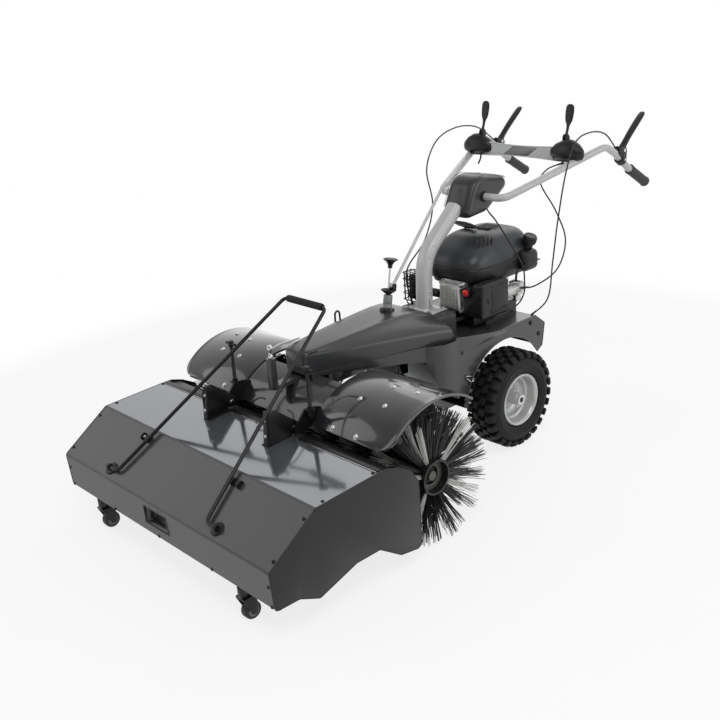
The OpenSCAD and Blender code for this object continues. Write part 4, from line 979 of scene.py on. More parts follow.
class SWEEPER_OT_brush(SweeperOperator):
    """Adds the brush's bristles, hubs and shaft"""
    bl_idname = "sweeper.brush"
    bl_label = "Brush"

    def build(self, scene):
        sizes = scene.sweeper_sizes
        for side, name in SIDES:
            self.bristles(name, side, sizes.strands, sizes.strand_width / MM)
            self.hub(name, side)
        paint("Hub Paint", "brush_shaft")

    def bristles(self, name, side, count, width):
        """Three-sided strands in tufts, the pale tufts, which paint the highlights on the black bristles, apart from
        the dark ones.
        """
        seed = 7 if side > 0 else 11
        rng = random.Random(seed)
        heaps = {"dark": ([], []), "pale": ([], [])}
        rings, spokes = 15, 22
        first_x, last_x, root = 98, 448, 50
        low_x, high_x = 88, 483.6
        for k in range(count):
            tuft = k % (rings * spokes)
            ring, row = tuft % rings, tuft // rings
            about = random.Random(seed * 1000 + tuft)
            shift, turn, sway = about.uniform(-6, 6), about.gauss(0, 0.035), about.gauss(0, 0.05)
            # Pale tufts paint the highlights on the black bristles.
            pale = about.random() < 0.17
            x = first_x + (last_x - first_x) * ring / (rings - 1) + shift + rng.uniform(-4, 4)
            angle = 2 * pi * row / spokes + turn + rng.gauss(0, 0.05)
            lean = sway + rng.gauss(0, 0.035) + 0.18 * max(0.0, (x - 410) / 40) - 0.10 * max(0.0, (140 - x) / 60)
            curl = sway * 0.6 + rng.gauss(0.0, 0.02)
            reach = min(BRUSH_R - 0.6, BRUSH_R - abs(rng.gauss(0, 5)))
            verts, faces = heaps["pale" if pale else "dark"]
            base = len(verts)
            for i, t in enumerate((0.0, 0.5, 1.0)):
                r = root + (reach - root) * t
                px = min(max(x + (reach - root) * t * tan(lean) * (0.7 + 0.3 * t), low_x), high_x)
                a = angle + curl * t * t
                w = width * (1 - 0.5 * t) / 2
                for j in range(3):
                    b = 2 * pi * j / 3
                    across, along = w * cos(b), w * sin(b)
                    y = BRUSH_Y + r * cos(a) - across * sin(a)
                    z = BRUSH_Z + r * sin(a) + across * cos(a)
                    verts.append(((px + along) * side * MM, y * MM, z * MM))
                if i:
                    low = base + 3 * (i - 1)
                    faces += [(low + j, low + (j + 1) % 3, low + 3 + (j + 1) % 3, low + 3 + j) for j in range(3)]
            faces += [(base + 2, base + 1, base), (base + 6, base + 7, base + 8)]
        for shade, (verts, faces) in heaps.items():
            mesh = bpy.data.meshes.new(f"{name}_strands_{shade}")
            mesh.from_pydata(verts, [], faces)
            strands = bpy.data.objects.new(mesh.name, mesh)
            bpy.context.scene.collection.objects.link(strands)
            edit(lambda: bpy.ops.mesh.normals_make_consistent(inside=False), strands)
            smooth(strands, 80)
            if shade == "dark":
                core = turned("core", sleeve(46, 52, 84, 462), BRUSH_AXIS, (side, 0, 0), 40)
                strands = joined(mesh.name, [strands, core])
                dress(strands, "Dark Bristle", "brush", "bristle", name + "_bristles")
            else:
                dress(strands, "Pale Bristle", "brush", "bristle")

    def hub(self, name, side):
        profile = [(14, 426), (46, 426), (46, 438), (44, 440), (30, 440.4), (28, 439), (27, 430), (14, 429.6)]
        rim = turned(name + "_hub", profile, BRUSH_AXIS, (side, 0, 0), 48)
        inner = turned("hub_in", sleeve(14, 46, 84, 92), BRUSH_AXIS, (side, 0, 0), 40)
        unite(name + "_hub", [rim, inner], "Hub Paint", "brush", "hub_paint", "hub_discs")
        # A near-black disc on the floor of the hub's recess: painted shade in the recess.
        profile = [(9, 429.8), (27.2, 429.8), (27.4, 438), (26.8, 438), (26.4, 430.6), (9, 430.6)]
        floor = turned(name + "_hub_floor", profile, BRUSH_AXIS, (side, 0, 0), 40)
        dress(floor, "Soft Rubber", "brush", "black_paint")
        head = bolt(name + "_hub_bolt", (side * 436, BRUSH_Y, BRUSH_Z), (side, 0, 0), 5, 5, False)
        dress(head, "Bright Steel", "brush", "bright_steel")


# Wheels, chassis and hood

AXLE_Y, AXLE_Z, WHEEL_X = 264.0, 165.0, 215
SPOOL_AT = (0, -76, 521)
SPOOL_AXIS = (0, sin(radians(10)), cos(radians(10)))


class SWEEPER_OT_wheels(SweeperOperator):
    """Adds the lugged tyres and dished rims"""
    bl_idname = "sweeper.wheels"
    bl_label = "Wheels"

    def build(self, scene):
        for side, name in SIDES:
            self.tyre(name, side)
            self.rim(name, side)
        paint("Bright Steel", "axle_shaft")

    def tyre(self, name, side):
        at = (WHEEL_X * side, AXLE_Y, AXLE_Z)
        half = [(80.4, 44), (90, 44), (93, 48), (97, 52.4), (108, 55), (119, 56), (120.5, 57), (122, 56),
                (132, 54.6), (142, 50), (149, 40), (151.5, 20)]
        inner = [(143, 20), (118, 48), (80.4, 37)]
        profile = half + [(r, -a) for r, a in half[::-1]] + [(r, -a) for r, a in inner[::-1]] + inner
        parts = [turned(name + "_tyre_skin", profile, at, (side, 0, 0), 104)]
        crown = [(3, 148), (3, 163.6), (5, 164.8), (20, 164.8), (23, 162), (23, 148)]
        shoulder = [(28, 148), (28, 163), (31, 165), (44, 165), (51, 160.6), (55, 153), (55.6, 147), (53, 144),
                    (48, 146), (40, 148)]
        count, half_lug = 26, 11.0
        for outline, offset in ((crown, 0.5), (shoulder, 0.0)):
            for mirror in (1, -1):
                shape = [Vector(((WHEEL_X + mirror * a) * side, -half_lug, -r)) * MM for a, r in outline]
                master = slab("lug", shape, (0, 2 * half_lug * MM, 0), 0.0016, 1)
                for vert in master.data.vertices:
                    vert.co.y *= 1.0 if abs(vert.co.z) / MM > 150 else 1.14
                for k in range(count):
                    turn = (k + offset + (0 if mirror > 0 else 0.5)) * 2 * pi / count
                    spin = Matrix.Translation(Vector((0, AXLE_Y, AXLE_Z)) * MM) @ Matrix.Rotation(turn, 4, "X")
                    parts.append(copied(master, "lug", spin))
                bpy.data.objects.remove(master, do_unlink=True)
        unite(name + "_tyre_skin", parts, "Tyre Rubber", name + "_wheel", "tyre_rubber", name + "_tyre")

    def rim(self, name, side):
        at = (WHEEL_X * side, AXLE_Y, AXLE_Z)
        profile = [(12.7, -40), (21, -40), (21, -14), (46, -12), (54, -9), (61, -12), (68, -22), (75, -28), (75, -46),
                   (80, -49.5), (87, -51), (89, -49), (89, -44), (80, -44), (80, 44), (89, 44), (89, 49), (87, 51),
                   (83, 50.6), (79, 47), (76, 40), (75.6, 26), (72, 17), (66, 13), (63, 4), (58, -1), (52, -2.4),
                   (46, -6), (24, -6.4), (21, -4), (21, 42), (20, 44), (12.7, 44)]
        dish = turned(name + "_rim_dish", profile, at, (side, 0, 0), 80, angle=28)
        rings = [turned("bead", [(r - 1.2, a), (r, a + 1.1), (r + 1.2, a), (r, a - 1)], at, (side, 0, 0), 64)
                 for r, a in ((40, -6.2), (69, 14.6))]
        unite(name + "_rim_dish", [dish] + rings, "Rim Paint", name + "_wheel", "rim_paint", name + "_rim")
        bolts = []
        for k in range(5):
            a = 2 * pi * (k + 0.25) / 5
            spot = (at[0] - side * 6.2, AXLE_Y + 33 * cos(a), AXLE_Z + 33 * sin(a))
            bolts.append(bolt("wheel_bolt", spot, (side, 0, 0), 6, 6, False))
        unite(name + "_wheel_bolts", bolts, "Bright Steel", name + "_wheel", "bright_steel")
        a = 2.3
        profile = [(TIP, 0), (4.5, 0), (4.5, 5), (3.4, 7), (3.2, 18), (3.8, 19), (3.8, 27), (TIP, 28)]
        spot = (at[0] + side * 12, AXLE_Y + 68 * cos(a), AXLE_Z + 68 * sin(a))
        stem = turned(name + "_valve", profile, spot, (side, 0, 0), 16)
        dress(stem, "Soft Rubber", name + "_wheel", "tyre_rubber")


class SWEEPER_OT_chassis(SweeperOperator):
    """Adds the belt hood, shift spool and chassis fittings"""
    bl_idname = "sweeper.chassis"
    bl_label = "Chassis and Hood"

    def build(self, scene):
        self.hood()
        self.spool()
        self.fittings()
        paint("Deck Paint", "chassis_frame")
        paint("Carrier Paint", "carrier_plate", "drive_gearbox")
        paint("Bright Steel", "driven_pulley", "crank_pulley")
        paint("Belt Rubber", "drive_belt")

    def section(self, y, inset, low):
        """One closed section of the hood, from one lower edge over the crest to the other."""
        # Place along Y, half width at the foot and shoulder, shoulder height, half width and height of the crest
        stations = [(-462, 40, 36, 488, 30, 493), (-459, 46, 44, 491, 38, 498), (-450, 51, 48, 492, 42, 501),
                    (-420, 60, 57, 490, 46, 504), (-340, 84, 80, 487, 53, 510), (-230, 116, 111, 484, 61, 516),
                    (-140, 142, 136, 481, 67, 519.6), (-76, 161, 154, 478, 71, 520.6), (-30, 174, 168, 475, 84, 514),
                    (10, 186, 181, 470, 97, 505), (20, 189.4, 184, 467, 99, 502), (25, 190.6, 182, 460, 96, 496)]
        for a, b in zip(stations, stations[1:]):
            if a[0] <= y <= b[0]:
                t = (y - a[0]) / (b[0] - a[0])
                _, w, sw, sz, tw, tz = (p + (q - p) * t for p, q in zip(a, b))
                break
        w, sw, tw, sz, tz = w - inset, sw - inset, tw - inset * 0.5, sz - inset, tz - inset
        half = [(w, low), (w, low + 8), (w - 0.6, sz - 12), (sw + 2, sz - 3), (sw - 5, sz + 4)]
        mid = sw - 5 - (tw + 8)
        half += [(tw + 8 + mid * f, sz + 4 + (tz - 6 - sz - 4) * (1 - f) ** 0.86) for f in (0.75, 0.5, 0.25)]
        half += [(tw + 8, tz - 5.6), (tw + 3.4, tz - 1.6), (tw, tz - 0.2), (tw * 0.5, tz + 0.4)]
        ring = half + [(0, tz + 0.6)] + [(-x, z) for x, z in reversed(half)]
        return [(x, y, z) for x, z in ring]

    def hood(self):
        places = [-462, -459, -450, -435, -420, -380, -340, -290, -230, -185, -140, -108, -76, -52, -30, -8, 10, 20, 25]
        shell = sheet("belt_cover", [self.section(y, 0, 433) for y in places], wrap=True, caps=True)
        hollow = sheet("hollow", [self.section(y, 3, 424) for y in places[2:-1]], wrap=True, caps=True)
        cut(shell, hollow)
        cut(shell, block("tunnel", (-90, -15, 400), (90, 60, 464), 6, 3))
        cut(shell, turned("spool_hole", peg(23.6, -30, 30), SPOOL_AT, SPOOL_AXIS, 32))
        dress(smooth(shell, 32), "Hood Plastic", "chassis", "hood_plastic", "belt_hood")
        edge = ((40, -461), (50.5, -452), (161, -76), (190, 24))
        lines = (edge, [(-x, y) for x, y in edge], ((-40, -461), (40, -461)))
        seam = [tube("seam", [(x, y, 432.4) for x, y in line], 1.7, 6) for line in lines]
        unite("hood_seam", seam, "Soft Rubber", "chassis", "cable_rubber")

    def spool(self):
        at, axis = SPOOL_AT, SPOOL_AXIS
        base = [(TIP, -12), (24, -12), (24, 3), (22.4, 6), (18, 8), (TIP, 8)]
        grey = [(TIP, 5), (14, 5), (14.4, 7), (14.4, 19), (13.6, 20), (14.4, 21), (14.4, 47), (13, 49), (TIP, 49)]
        cone = [(TIP, 48.5), (6, 48.5), (8, 51), (15, 56.5), (22, 61), (23.6, 63), (23.6, 66), (22, 66.6), (14, 60),
                (4, 57.5), (TIP, 57.5)]
        knob = [(TIP, 134), (6.6, 134), (7.2, 137), (7.4, 143), (9.4, 148), (14, 154), (21, 159), (23.6, 161),
                (23.2, 163), (18, 165), (10, 166), (TIP, 166)]
        pieces = [turned("spool_base", base, at, axis, 40), turned("spool_cone", cone, at, axis, 40),
                  turned("spool_knob", knob, at, axis, 40)]
        up = Vector(axis)
        side = Vector((0, axis[2], -axis[1]))
        for s in (1, -1):
            pieces.append(slab("shift_ear", [(Vector(at) + Vector((s * 5.8, 0, 0)) + side * r + up * a) * MM
                                             for r, a in ((9, 60), (26, 60), (26, 80), (22, 84), (12, 84), (9, 80))],
                               (s * 0.004, 0, 0), 0.0008))
        unite("spool_black", pieces, "Black Plastic", "chassis", "black_plastic", "shift_spool")
        dress(turned("spool_drum", grey, at, axis, 40, angle=50), "Spool Plastic", "chassis", "spool_plastic")
        stem = [(3.4, 57)] + [(3.4 if k % 2 else 2.4, 66 + k * 3.4) for k in range(20)] + [(3.4, 135)]
        stem = turned("spool_stem", [(TIP, 57), *stem, (TIP, 135)], at, axis, 20)
        dress(stem, "Bright Steel", "chassis", "bright_steel")

    def fittings(self):
        bolts = [bolt("deck_bolt", (200, y, z), (1, 0, 0), 8, 5)
                 for y, z in ((46, 385), (86, 268), (400, 385), (444, 335))]
        dress(both("deck_bolts", joined("right_deck_bolts", bolts)), "Black Paint", "chassis", "black_paint",
              "chassis_bolts")
        trims = []
        for side in (1, -1):
            arch = [(side * 199.4, AXLE_Y + 203 * cos(a), AXLE_Z + 203 * sin(a))
                    for a in (radians(36 + (168 - 36) * k / 40) for k in range(41))]
            trims.append(tube("arch_edge", arch, 2.6, 8))
            edge = [(side * 199, y, z) for y, z in ((-24, 404.4), (426, 404.4), (477, 365.6), (463, 286))]
            trims.append(tube("deck_edge", edge, 2.4, 8, 8, 4))
        unite("deck_edges", trims, "Deck Paint", "chassis", "deck_paint")
        top = 432.6
        lower_edge = ((-456, 39, 424), (-380, 63.4, 417), (-300, 91, 409), (-190, 129.4, 398), (-150, 141.4, 394),
                      (-110, 154, 388), (-84, 164, 382), (-79, 168, 377), (-72, 173, 352), (-64, 179, 326),
                      (-56, 185, 302), (-48, 190, 283), (-38, 197, 277), (-26, 202, 273), (0, 203, 270), (26, 203, 266))
        rows = [[(x, y, low + (top - low) * k / 4) for k in range(5)] for y, x, low in lower_edge]
        fairing = sheet("right_fairing", rows)
        modify(fairing, "SOLIDIFY", thickness=0.002, offset=0.0)
        smooth(fairing, 60)
        outline = [(20, 380), (20, 441), (99, 427), (185, 412), (241, 405.6), (262, 404), (262, 392)]
        rail = side_slab("deck_rail", outline, 200.6, 203, 0.8)
        dress(both("deck_fairings", joined("right_fairing", [fairing, rail])), "Deck Paint", "chassis", "deck_paint")
        shield = side_slab("right_shield", [(-136, 380), (-115, 317), (18, 209), (34, 350)], 97, 100, 0.6)
        dress(both("carrier_shields", shield), "Carrier Paint", "chassis", "carrier_paint")
        # A black box below the filter and over the engine stand: painted shade.
        base = block("engine_base", (-41, 200, 409.4), (121, 426, 454.4), 5, 3)
        dress(base, "Black Paint", "chassis", "black_paint")
        holes = [turned("axle_end", peg(9, 265.4, 266), (0, AXLE_Y, AXLE_Z), (side, 0, 0), 24) for side in (1, -1)]
        unite("axle_ends", holes, "Black Paint", "chassis", "black_paint")
        line = spline([(204, 60, 300), (206, 74, 296), (206, 86, 290), (206, 92, 280), (206, 84, 274), (205, 72, 284),
                       (204, 62, 292)], 8)
        clip = tube("spring_clip", line, 1.6, 8)
        dress(clip, "Bright Steel", "chassis", "bright_steel")
        rod = tube("swivel_link", [(-10.5, -543.5, 523), (-22, -498, 524), (-62, -392, 505)], 3.4, 10, 10)
        dress(rod, "Tube Paint", "chassis", "tube_paint")
        bow = ((-210, 488), (-209, 526), (-199, 533), (-190, 526), (-189, 490))
        hook = tube("lift_hook", [(-100, y, z) for y, z in bow], 3.2, 10, 9, 6)
        dress(hook, "Black Paint", "chassis", "black_paint")


# Engine

COWL_SIDES = 56
COWL_POWER = 2 / 4.5


def squared(turn, wide_power, thick_power):
    """Cosine and sine of an angle, each pulled toward a rectangle by its power."""
    c, s = cos(turn), sin(turn)
    return copysign(abs(c) ** wide_power, c), copysign(abs(s) ** thick_power, s)


def cowl_point(k, cx, cy, a, b, z):
    """One point of a level ring between an ellipse and a rectangle."""
    u, v = squared(2 * pi * k / COWL_SIDES, COWL_POWER, COWL_POWER)
    return cx + a * u, cy + b * v, z


class SWEEPER_OT_engine(SweeperOperator):
    """Adds the engine's shroud, covers, tank, filter, muffler cage and small fittings"""
    bl_idname = "sweeper.engine"
    bl_label = "Engine"

    # Height of the cowl's rings, their half sizes along X and Y, and their centres
    LEVELS = [(553, 106, 157, 30, 350), (556, 110, 161, 30, 350), (566, 113, 164, 30, 350), (590, 114, 165, 30, 350),
              (616, 113.4, 164, 30, 350), (632, 111, 159, 29, 353), (646, 107, 150, 27.4, 358),
              (660, 101, 138, 25.4, 365), (672, 95, 124, 23, 373), (681, 88, 110, 22, 379), (687, 79, 98, 21, 382),
              (691, 66, 82, 21, 384), (692.6, 48, 60, 21, 384)]

    def build(self, scene):
        self.shroud()
        self.covers()
        self.fuel()
        self.muffler()
        paint("Engine Alloy", "engine_block", "carburettor")

    def width_at(self, z):
        """The cowl's ring at any height."""
        for p, q in zip(self.LEVELS, self.LEVELS[1:]):
            if p[0] <= z <= q[0]:
                t = (z - p[0]) / (q[0] - p[0])
                return [u + (v - u) * t for u, v in zip(p, q)]
        return self.LEVELS[-1]

    def shroud(self):
        rows = [[cowl_point(k, cx, cy, a, b, z) for k in range(COWL_SIDES)] for z, a, b, cx, cy in self.LEVELS]
        top = sheet("engine_cowl", rows, wrap=True, caps=True)
        cut(top, block("cylinder_room", (-4, 100, 540), (106, 307, 578), 1, 1))
        louvre = turned("louvre", [(TIP, 0), (34, 0), (34, 2.4), (30, 3.4), (TIP, 3.8)], (21, 400, 692), (0, 0, 1), 40)
        crest = [block("vent", (-10, y - 2, 694.6), (48, y + 2, 697.4), 0.8, 1) for y in range(372, 429, 7)]
        pad = sheet("cowl_pad", [[(x, y, z + 1.2) for x in (-24, -8, 8, 24, 40, 56, 70)]
                                 for y, z in ((238, 650.4), (252, 660), (266, 668), (280, 674.6), (292, 679))])
        modify(pad, "SOLIDIFY", thickness=0.003, offset=0.0)
        unite("engine_cowl", [top, louvre, pad], "Shroud Plastic", "chassis", "engine_plastic", "engine_shroud")
        rows = []
        foot, levels = 546, 8
        for j in range(levels + 1):
            row = []
            for k in range(COWL_SIDES):
                y = 350 + 165 * sin(2 * pi * k / COWL_SIDES)
                rise = max(0.0, min(1.0, (y - 330) / 160))
                edge = 606 + 40 * rise * rise * (3 - 2 * rise)
                z = foot + (edge - foot) * j / levels
                _, a, b, cx, cy = self.width_at(max(self.LEVELS[0][0], z))
                proud = {0: 0.8, levels: 0.2}.get(j, 2.2)
                row.append(cowl_point(k, cx, cy, a + proud, b + proud, z))
            rows.append(row)
        skirt = sheet("cowl_skirt", rows, wrap=True)
        modify(skirt, "SOLIDIFY", thickness=0.002, offset=-1.0)
        cut(skirt, block("cylinder_room", (-4, 100, 530), (106, 250, 568), 1, 1))
        cut(skirt, block("filter_room", (104, 100, 530), (160, 242, 554), 1, 1))
        slots = [skirt] + crest
        lows = [(98, 243, 664), (105.5, 254, 665.6), (112, 266.5, 667), (116.5, 281.3, 667.8), (119, 298.7, 667.7)]
        highs = [(79.5, 276, 682), (87.5, 285, 683.5), (94, 295.7, 684.4), (99, 308, 684.8), (102.5, 322, 684.6)]
        for low, high in zip(lows, highs):
            low, high = Vector(low), Vector(high)
            middle = (low + high) / 2 + Vector((3.4, -1.2, 3.4))
            slots.append(tube("vent_slot", [low, middle, high], 3.2, 10))
        unite("cowl_skirt", slots, "Black Plastic", "chassis", "black_plastic")
        start, stop = Vector((-96, 366, 703.4)), Vector((12, 346, 703.4))
        grip = tube("starter_grip", [start + (stop - start) * k / 20 for k in range(21)],
                    lambda t: 4.5 + 5.4 * sin(pi * min(max(t, 0.02), 0.98)) ** 0.6, 16)
        neck = turned("starter_neck", [(TIP, 643), (2.9, 643), (2.9, 694), (6, 694.4), (5, 699), (TIP, 699)],
                      (-42, 356, 0), (0, 0, 1), 16)
        unite("starter_grip", [grip, neck], "Black Plastic", "recoil_handle", "black_plastic", "recoil_handle")

    def covers(self):
        flange = block("rocker_flange", (9, 175, 462), (105, 181, 566), 5, 3)
        lid = block("rocker_lid", (13.4, 150.4, 470), (100.6, 177, 558), 11, 4)
        ribs = [block("rocker_rib", (x - 3, 147.6, 478), (x + 3, 155, 550), 2.2, 2) for x in (27, 42, 57, 72, 87)]
        ribs.append(block("rocker_band", (19, 148.6, 511), (95, 154, 517), 2, 2))
        spots = [(x, z) for x in (17, 97) for z in (470, 558)]
        bosses = [turned("boss", [(TIP, 0), (8, 0), (7, 16), (TIP, 16)], (x, 176, z), (0, -1, 0), 20) for x, z in spots]
        unite("rocker_lid", [flange, lid] + ribs + bosses, "Engine Alloy", "chassis", "engine_alloy",
              "rocker_cover")
        bolts = [bolt("rocker_bolt", (x, 160, z), (0, -1, 0), 5, 5, False) for x, z in spots]
        unite("rocker_bolts", bolts, "Bright Steel", "chassis", "bright_steel")
        front = block("filter_front", (106, 165, 455), (189, 240, 552.4), 8, 4)
        cut(front, turned("primer_seat", peg(13.6, 160, 183), (123, 0, 538), (0, 1, 0), 28))
        crown = block("filter_crown", (146, 166, 530), (189.6, 240, 569), 9, 4)
        back = block("filter_back", (150, 206, 456), (190.6, 300, 568), 10, 4)
        panel = block("filter_panel", (186, 214, 486), (191.6, 290, 540), 2, 2)
        ribs = [block("filter_rib", (186, 208, z), (191.4, 296, z + 2), 0.8, 1) for z in (470, 476, 552, 557)]
        ribs += [block("filter_rib", (140, 163.8, z), (184, 170, z + 2), 0.8, 1) for z in (478, 486, 494, 502, 510)]
        seat = turned("primer_ring", [(13.6, 158), (16.4, 158), (17.4, 160), (17.4, 168), (13.6, 168)],
                      (123, 0, 538), (0, 1, 0), 32)
        hinge = block("filter_tab", (178, 192, 505), (192, 208, 521), 3, 2)
        unite("filter_back", [front, crown, back, panel, hinge, seat] + ribs, "Black Plastic", "chassis",
              "engine_plastic", "air_filter_box")
        bulb = turned("primer_dome", [(TIP, -10), (12.8, -10), (12.8, 3), (12.2, 6.6), (10.4, 9.8), (7.4, 11.6),
                                      (3.6, 12.6), (TIP, 12.8)], (123, 165.4, 538), (0, -1, 0), 32)
        dress(bulb, "Primer Red", "primer_bulb", "primer_red", "primer_bulb")
        bowl = turned("carb_bowl", [(TIP, 470), (13, 470), (15, 474), (15, 490), (17, 492), (17, 497), (TIP, 497)],
                      (168, 366, 0), (0, 0, 1), 28)
        bits = [bowl, bolt("bowl_nut", (168, 366, 470.4), (0, 0, -1), 5, 5, False)]
        bits += [bolt("carb_bolt", (x, 391, z), (0, 1, 0), 4, 4, False) for x in (158, 178) for z in (501, 521)]
        bits.append(tube("carb_link", [(184, 360, 528), (190, 352, 536), (190, 326, 544), (182, 316, 540)], 1.5, 8, 6))
        coil = [(188 + 3 * cos(k * 0.8), 340 + k * 0.32, 508 + 3 * sin(k * 0.8)) for k in range(72)]
        bits.append(tube("carb_spring", coil, 0.7, 5))
        unite("carb_bits", bits, "Bright Steel", "chassis", "engine_alloy")

    def fuel(self):
        tank = block("tank_shell", (121, 407, 552), (174, 487, 624), 20, 5)
        lean = radians(22)
        axis = Vector((sin(lean), 0, cos(lean)))
        middle = Vector([(a + b) / 2 / MM for a, b in zip(*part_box("fuel_cap"))])
        at = middle - axis * 3
        neck = turned("tank_neck", [(14, -38), (19.4, -38), (17.6, -24), (17.6, 7.4), (14, 7.4)], at, axis, 32)
        seam = block("tank_seam", (121, 406, 582), (175, 488, 586), 1.4, 2)
        unite("tank_shell", [tank, neck, seam], "Black Plastic", "chassis", "engine_plastic", "fuel_tank")
        lid = turned("fuel_lid", [(18.4, -10), (22.6, -10), (23.2, -8), (23.2, 11), (21.6, 14.6), (17, 16),
                                  (15.6, 14.4), (TIP, 14.4), (TIP, 8.6), (18.4, 8.6)], at, axis, 48)
        side = axis.orthogonal().normalized()
        other = axis.cross(side)
        knurls = []
        for k in range(24):
            a = 2 * pi * k / 24
            out = side * cos(a) + other * sin(a)
            foot = at + out * 22.9
            knurls.append(tube("knurl", [foot - axis * 7, foot + axis * 11], 1.1, 6))
        unite("fuel_lid", [lid] + knurls, "Black Plastic", "fuel_cap", "black_plastic", "fuel_cap")

    def muffler(self):
        can = block("muffler_can", (-108, 132, 486), (-72, 179, 571), 9, 4)
        pipe = tube("exhaust_pipe", [(-80, 165, 515), (-40, 165, 515), (7, 165, 515)], 14, 20, 20)
        fin = [block("can_rib", (-110, 130.6, z), (-71, 180.4, z + 3), 1.2, 2) for z in (505, 528, 551)]
        unite("muffler_can", [can, pipe] + fin, "Black Paint", "chassis", "black_paint", "muffler_guard")
        wires = []
        for z in (482, 505, 529, 553, 575):
            hoop = [(-74, 128, z), (-130, 128, z), (-130, 179, z), (-74, 179, z)]
            wires.append(tube("hoop", hoop, 1.9, 8, 9, 5))
        for x, y in ((-130, 138), (-130, 153), (-130, 168), (-118, 128), (-103, 128), (-88, 128), (-118, 179),
                     (-88, 179)):
            wires.append(tube("upright", [(x, y, 481), (x, y, 576)], 1.7, 8))
        for y in (143, 161):
            wires.append(tube("lid_wire", [(-129, y, 576), (-74, y, 576)], 1.7, 8))
        for y in (134, 173):
            wires.append(tube("cage_foot", [(-120, y, 482), (-116, y, 470), (-100, y, 462)], 2.2, 8, 6))
        unite("muffler_cage", wires, "Black Paint", "chassis", "black_paint")


# Post, head and handlebar

PIVOT = (0, 344.0, 812.0)
BAR = [(137, 344, 812), (265, 725, 931), (265, 781, 901), (265, 869, 835), (265, 976, 771)]
BAR_R = 12.5
LEVER_PIN = (817.8, 905.4)
POST_LINE = [(95, 479), (102, 653), (262, 787)]


def blade(name, origin, way, out, stations, powers, bore):
    """A blade along one way and thick along another, with a bore at its origin.

    The stations are (run, half width, half thickness, lift). The powers square off its width and thickness.
    """
    ring = [squared(2 * pi * k / 20, *powers) for k in range(20)]
    rows = [[origin + way * run + out * (lift + thick * v) + Vector((wide * u, 0, 0)) for u, v in ring]
            for run, wide, thick, lift in stations]
    piece = sheet(name, rows, wrap=True, caps=True)
    radius, steps = bore
    cut(piece, turned("bore", peg(radius, -20, 20), origin, (1, 0, 0), steps))
    return smooth(piece, 45)


def boxed_tube(name, path, wide, deep, corner, steps=8, bend=60.0):
    """A tube of rounded rectangular section along a line in the side view."""
    line = rounded([Vector((0, y, z)) for y, z in path], bend, steps)
    rows = []
    for i, p in enumerate(line):
        way = heading(line, i)
        out = Vector((0, way.z, -way.y))
        row = []
        for sx, sn, start in ((1, 1, 0), (-1, 1, 90), (-1, -1, 180), (1, -1, 270)):
            for k in range(5):
                a = radians(start + k * 22.5)
                u = sx * (wide / 2 - corner) + corner * cos(a)
                v = sn * (deep / 2 - corner) + corner * sin(a)
                row.append(p + Vector((u, 0, 0)) + out * v)
        rows.append(row)
    return sheet(name, rows, wrap=True, caps=True)


